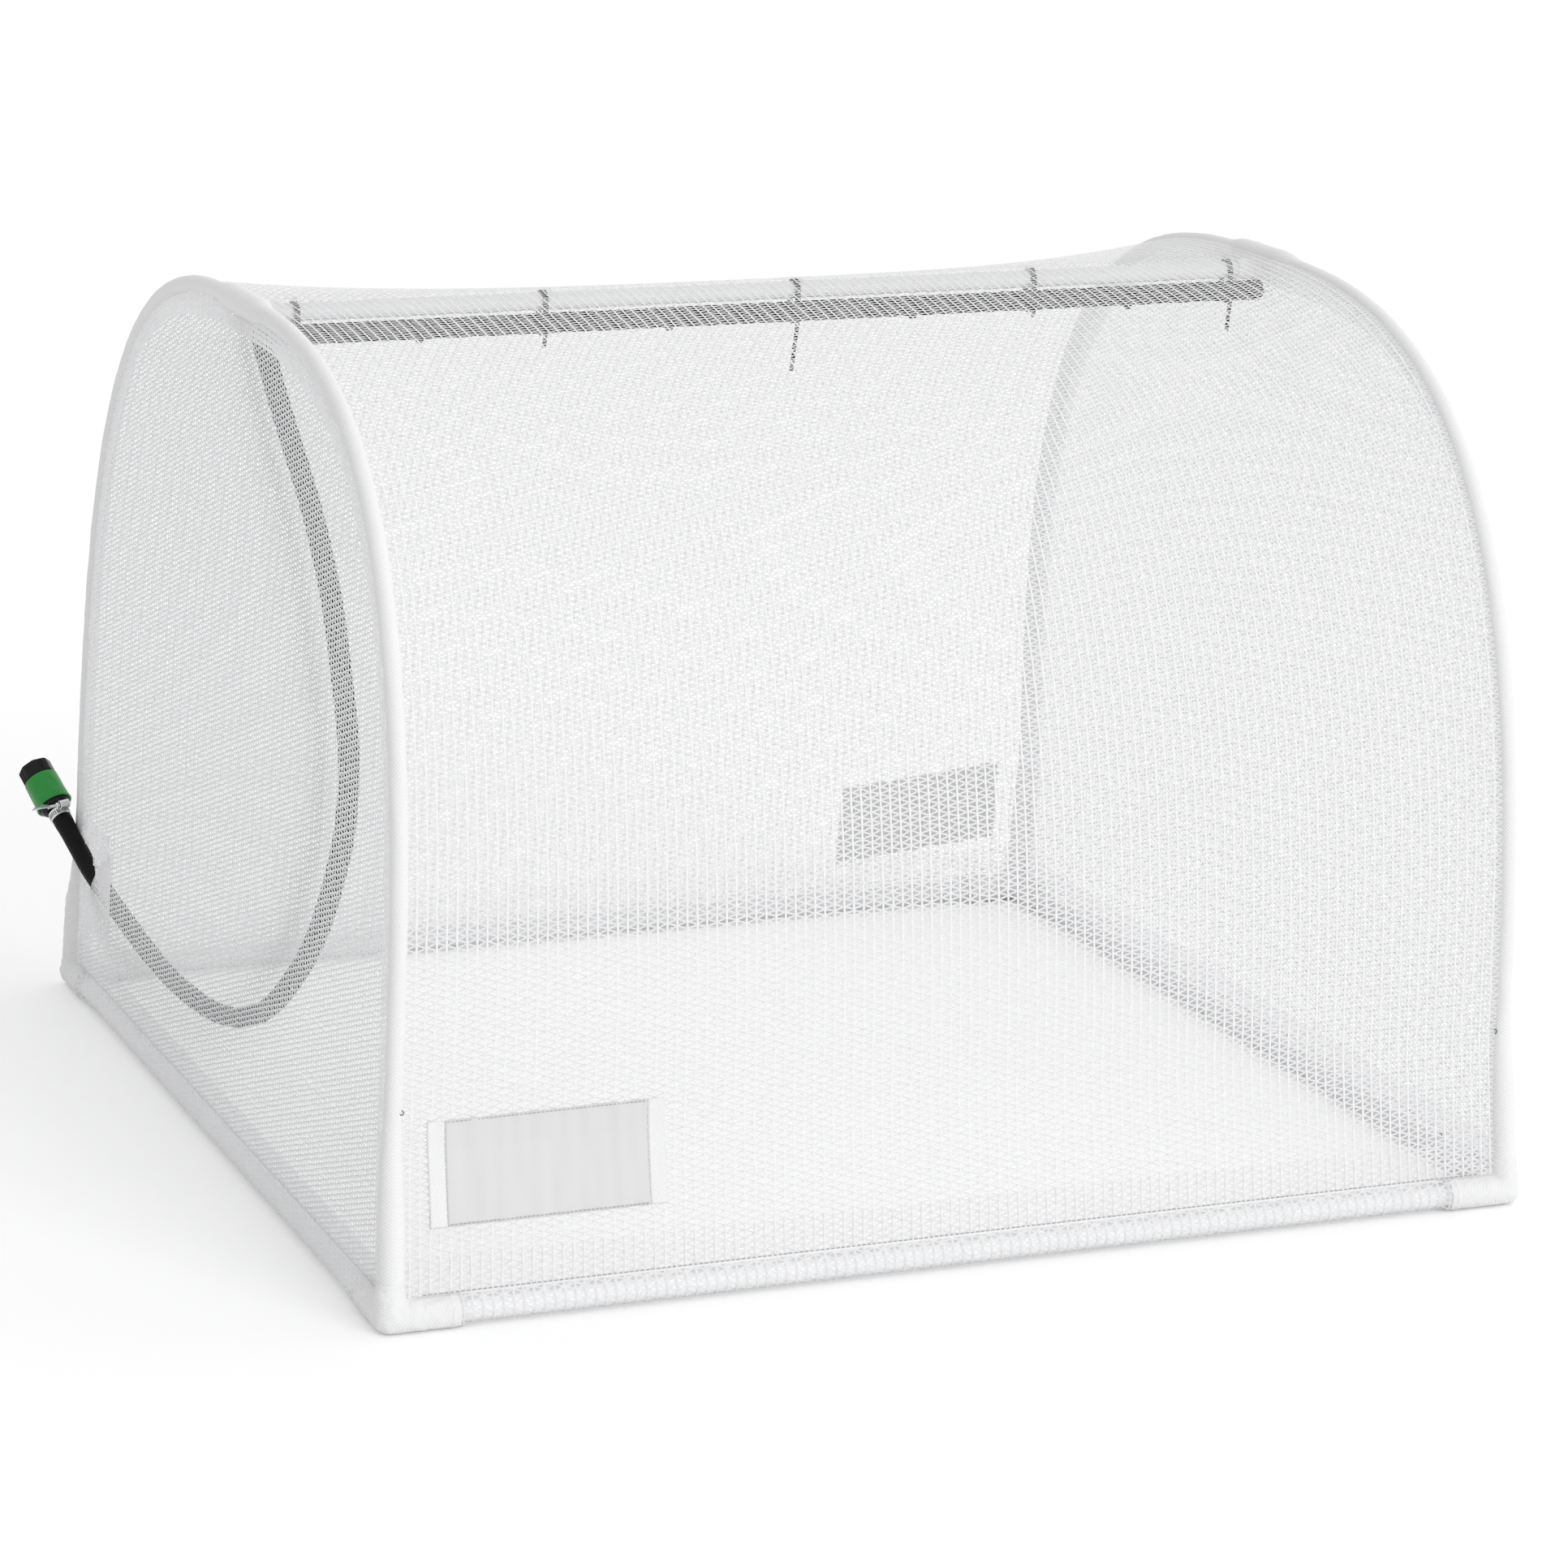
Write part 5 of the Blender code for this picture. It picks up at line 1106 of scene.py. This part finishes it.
grey_satin = woven("grey_satin", (0.755, 0.755, 0.76), 0.45, 2400, relief=0.00004)
# Grey stitches: painted shade for the needle holes and the groove along each seam of white thread.
label_shade_thread = grained("label_shade_thread", (0.45, 0.45, 0.46), 0.7, scale=1500, bump=0.1)


def label(name, end, edges, finish, rise=0.0):
    """A creased patch on the outside of the main sheet, level or rising to the right."""
    left, right, bottom, top = edges

    def patch(across, along):
        x = left + (right - left) * (across if end < 0 else 1 - across)
        height = bottom + (top - bottom) * along + rise * (x - (left + right) / 2)
        run = run_at(height)
        flat = on_sheet(x, end * (crown_run - run), 0.0)
        fold = rumple(flat * np.array([1, 1, 0.15]), LABEL_CREASE_SIZE, LABEL_CREASE, 3.0)
        return on_sheet(x, end * (crown_run - run), LABEL_OUT + fold)

    piece = skin(name, max(round((right - left) / 0.002), 6), 44, patch,
                 (right - left, top - bottom), CLOTH_WALL, offset=1)
    sewn_on["front" if end < 0 else "rear"].append(piece)
    return settle(piece, [finish], stands_for=[name.replace("patch", "label")])


left, right, low, high = FRONT_LABEL
label("front_patch", -1, FRONT_LABEL, grey_satin)
for name, edges in (("left", (left - LABEL_TAPE, left - LABEL_TAPE_GAP, low, high)),
                    ("right", (right + LABEL_TAPE_GAP, right + LABEL_TAPE, low, high))):
    label(f"patch_tape_{name}", -1, edges, white_cloth)
label("rear_patch", 1, REAR_LABEL, grey_satin, REAR_LABEL_RISE)
seam_from, seam_to = left + LABEL_SEAM_ENDS[0], right - LABEL_SEAM_ENDS[1]
for name, level in (("low", low + LABEL_SEAM_IN), ("high", high - LABEL_SEAM_IN)):
    places = [Vector(on_sheet(x, run_at(level) - crown_run, LABEL_OUT + LABEL_SEAM_OUT))
              for x in np.arange(seam_from, seam_to, LABEL_STITCH_PITCH)]
    row = stitches(f"patch_seam_{name}", places, Vector((0, -1, 0)), label_shade_thread, LABEL_STITCH_LENGTH)
    sewn_on["front"].append(row)

# Slit facing and lip
# Two pieces of closer net sewn to the rear corner of the left end: a creased one round the
# hose's hole, and the lip of the slit, which lies over the hose where it comes out.
FLAP_FRONT = 0.380
FLAP_REAR = 0.498
LIP_HEIGHTS = (0.070, 0.0915, 0.1035, 0.1155, 0.122, 0.131, 0.1395, 0.147, 0.1505, 0.163)
LIP_DEPTHS = (0.498, 0.476, 0.4645, 0.4465, 0.445, 0.4355, 0.427, 0.419, 0.405, 0.388)
LIP_OUT = 0.0016
LIP_COUNTS = (26, 24)
SLIT_LOW = 0.120
SLIT_HIGH = 0.178
SLIT_COUNTS = (32, 16)
SLIT_THREADS = (0.50, 0.45)
PLEAT = 0.0012
PLEAT_WAVES = (620, 20)
PLEAT_OUT = 0.0004


def on_left_panel(y, z, out):
    return np.stack([hoop_x(-1, z) - PANEL_OUTSIDE_HOOP - out, y, z], -1)


def over_hose(y, z):
    """How far cloth over the left panel has to stand out to clear the hose."""
    out = np.full(y.shape, LIP_OUT)
    for place, swell in hose_places[SLIT_FIRST_POINT:]:
        side_way = np.hypot(y - place.y, z - place.z)
        depth = hoop_x(-1, place.z) - PANEL_OUTSIDE_HOOP - place.x
        radius = HOSE_RADIUS + LIP_OUT
        stands = depth + np.sqrt(np.clip(radius ** 2 - side_way ** 2, 0, None))
        out = np.where(side_way < radius, np.maximum(out, stands), out)
    return out


def lip(wale, course, out):
    z = LIP_HEIGHTS[0] + (LIP_HEIGHTS[-1] - LIP_HEIGHTS[0]) * course / LIP_COUNTS[1]
    edge = np.interp(z, LIP_HEIGHTS, LIP_DEPTHS)
    y = FLAP_FRONT + (edge - FLAP_FRONT) * (1 - wale / LIP_COUNTS[0])
    return on_left_panel(y, z, over_hose(y, z) + out)


def slit_facing(wale, course, out):
    y = FLAP_REAR + (FLAP_FRONT - FLAP_REAR) * wale / SLIT_COUNTS[0]
    z = SLIT_LOW + (SLIT_HIGH - SLIT_LOW) * course / SLIT_COUNTS[1]
    pleat = PLEAT * np.sin(y * PLEAT_WAVES[0] + PLEAT_WAVES[1] * z) * course / SLIT_COUNTS[1]
    return on_left_panel(y, z, PLEAT + PLEAT_OUT + pleat + out)


for name, counts, place, keep in (("slit_lip", LIP_COUNTS, lip, None),
                                  ("slit_patch", SLIT_COUNTS, slit_facing, clear_of_hose)):
    flap = knit(name, *counts, place, 14, *SLIT_THREADS, keep=keep)
    sewn_on["left"].append(settle(flap, doubled_lit_finishes, stands_for=["slit_flap"]))

# Corner wraps
# The hem's net is gathered round each corner elbow in several layers, so that it looks solid
# and lumpy there. The rear left one bags out and comes further up the post.
WRAP_RADIUS = 0.0139
WRAP_REACH = 0.0575
WRAP_POST_RADIUS = 0.0108
WRAP_POST = 0.030
BAG_RADIUS = 0.0128
BAG_TAPER = 0.074
BAG_POST = 0.106
BAG_TOP_RADIUS = 0.0080
WRAP_VOXEL = 0.0016
WRAP_LUMP = 0.0015
WRAP_WALL = 0.0005
WRAP_LUMP_SIZE = 0.009
POST_LEAN = 0.13
WRAP_FOOT_CUT = 0.0011
WRAP_END_CUT = 0.001

for side, side_name, end, end_name in ((-1, "left", -1, "front"), (-1, "left", 1, "rear"),
                                       (1, "right", -1, "front"), (1, "right", 1, "rear")):
    corner = Vector((side * HALF_WIDTH, end * HALF_DEPTH, BASE_HEIGHT))
    post_line = Vector((LEAN_LEFT / HOOP_HEIGHT if side < 0 else 0, -end * POST_LEAN, 1)).normalized()
    bags = side < 0 and end > 0
    arms = [(Vector((-side, 0, 0)), 0.0, WRAP_REACH, WRAP_RADIUS, WRAP_RADIUS),
            (Vector((0, -end, 0)), 0.0, WRAP_REACH, WRAP_RADIUS, WRAP_RADIUS)]
    if bags:
        arms += [(post_line, 0.0, BAG_TAPER, BAG_RADIUS, BAG_RADIUS),
                 (post_line, BAG_TAPER, BAG_POST, BAG_RADIUS, BAG_TOP_RADIUS)]
    else:
        arms.append((post_line, 0.0, WRAP_POST, WRAP_RADIUS, WRAP_POST_RADIUS))
    lump = bmesh.new()
    bmesh.ops.create_uvsphere(lump, u_segments=24, v_segments=12, radius=WRAP_RADIUS,
                              matrix=Matrix.Translation(corner))
    for line, start, stop, first_radius, last_radius in arms:
        bmesh.ops.create_cone(lump, cap_ends=True, segments=24, radius1=first_radius, radius2=last_radius,
                              depth=stop - start, matrix=aim(corner + line * (start + stop) / 2, line,
                                                             (0.3, 0.3, 1)))
    blank = put_in(bpy.data.objects.new("blank", bpy.data.meshes.new("blank")))
    lump.to_mesh(blank.data)
    remesh = blank.modifiers.new("remesh", "REMESH")
    remesh.mode = "VOXEL"
    remesh.voxel_size = WRAP_VOXEL
    solid = bpy.data.meshes.new_from_object(blank.evaluated_get(bpy.context.evaluated_depsgraph_get()))
    bpy.data.objects.remove(blank)
    lump.clear()
    lump.from_mesh(solid)
    bmesh.ops.smooth_vert(lump, verts=lump.verts, factor=0.5, use_axis_x=True, use_axis_y=True,
                          use_axis_z=True)
    lump.normal_update()
    bumps = rumple([vert.co for vert in lump.verts], WRAP_LUMP_SIZE, WRAP_LUMP, 5.0 * side + end)
    for vert, bump in zip(lump.verts, bumps):
        vert.co += vert.normal * abs(bump)
    open_ends = [(line, stop - WRAP_END_CUT) for line, start, stop, *radii in (*arms[:2], arms[-1])]
    ends = [vert for vert in lump.verts if vert.co.z < WRAP_FOOT_CUT
            or any((vert.co - corner).dot(line) > stop for line, stop in open_ends)]
    bmesh.ops.delete(lump, geom=ends, context="VERTS")
    mesh = bpy.data.meshes.new(f"corner_wrap_{end_name}_{side_name}")
    lump.to_mesh(mesh)
    lump.free()
    mesh.shade_smooth()
    x, y, z = read_points(mesh).T
    map_cloth(mesh, np.stack([x + y, z], -1))
    settle(thicken(bpy.data.objects.new(mesh.name, mesh), WRAP_WALL), [white_cloth])

# Loose thread ends
# Three dark ends of sewing thread that stick out of the front, two of them at its seams.
# Each is curled into a small hook.
CURL_SIZE = 0.0018
CURL_THICKNESS = 0.00035
CURL_STEPS = 12
CURL_RISE = -0.08
CURL_OUT = 0.0009

dark_thread = grained("dark_thread", (0.03, 0.03, 0.03), 0.7, scale=1500)
for name, x, height, turns in (("left", -0.486, 0.178, 0.75), ("right", 0.491, 0.151, 0.5),
                               ("low", 0.437, 0.066, 0.3)):
    root = Vector(on_sheet(x, run_at(height) - crown_run, CURL_OUT))
    angles = [tau * turns * i / (CURL_STEPS - 1) for i in range(CURL_STEPS)]
    hook = [(root + CURL_SIZE * Vector((sin(turn), CURL_RISE * i, cos(turn))), 1.0)
            for i, turn in enumerate(angles)]
    curl = tube(f"thread_end_{name}", CURL_THICKNESS, hook)
    sewn_on["front"].append(settle(curl, [dark_thread]))

low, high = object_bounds()
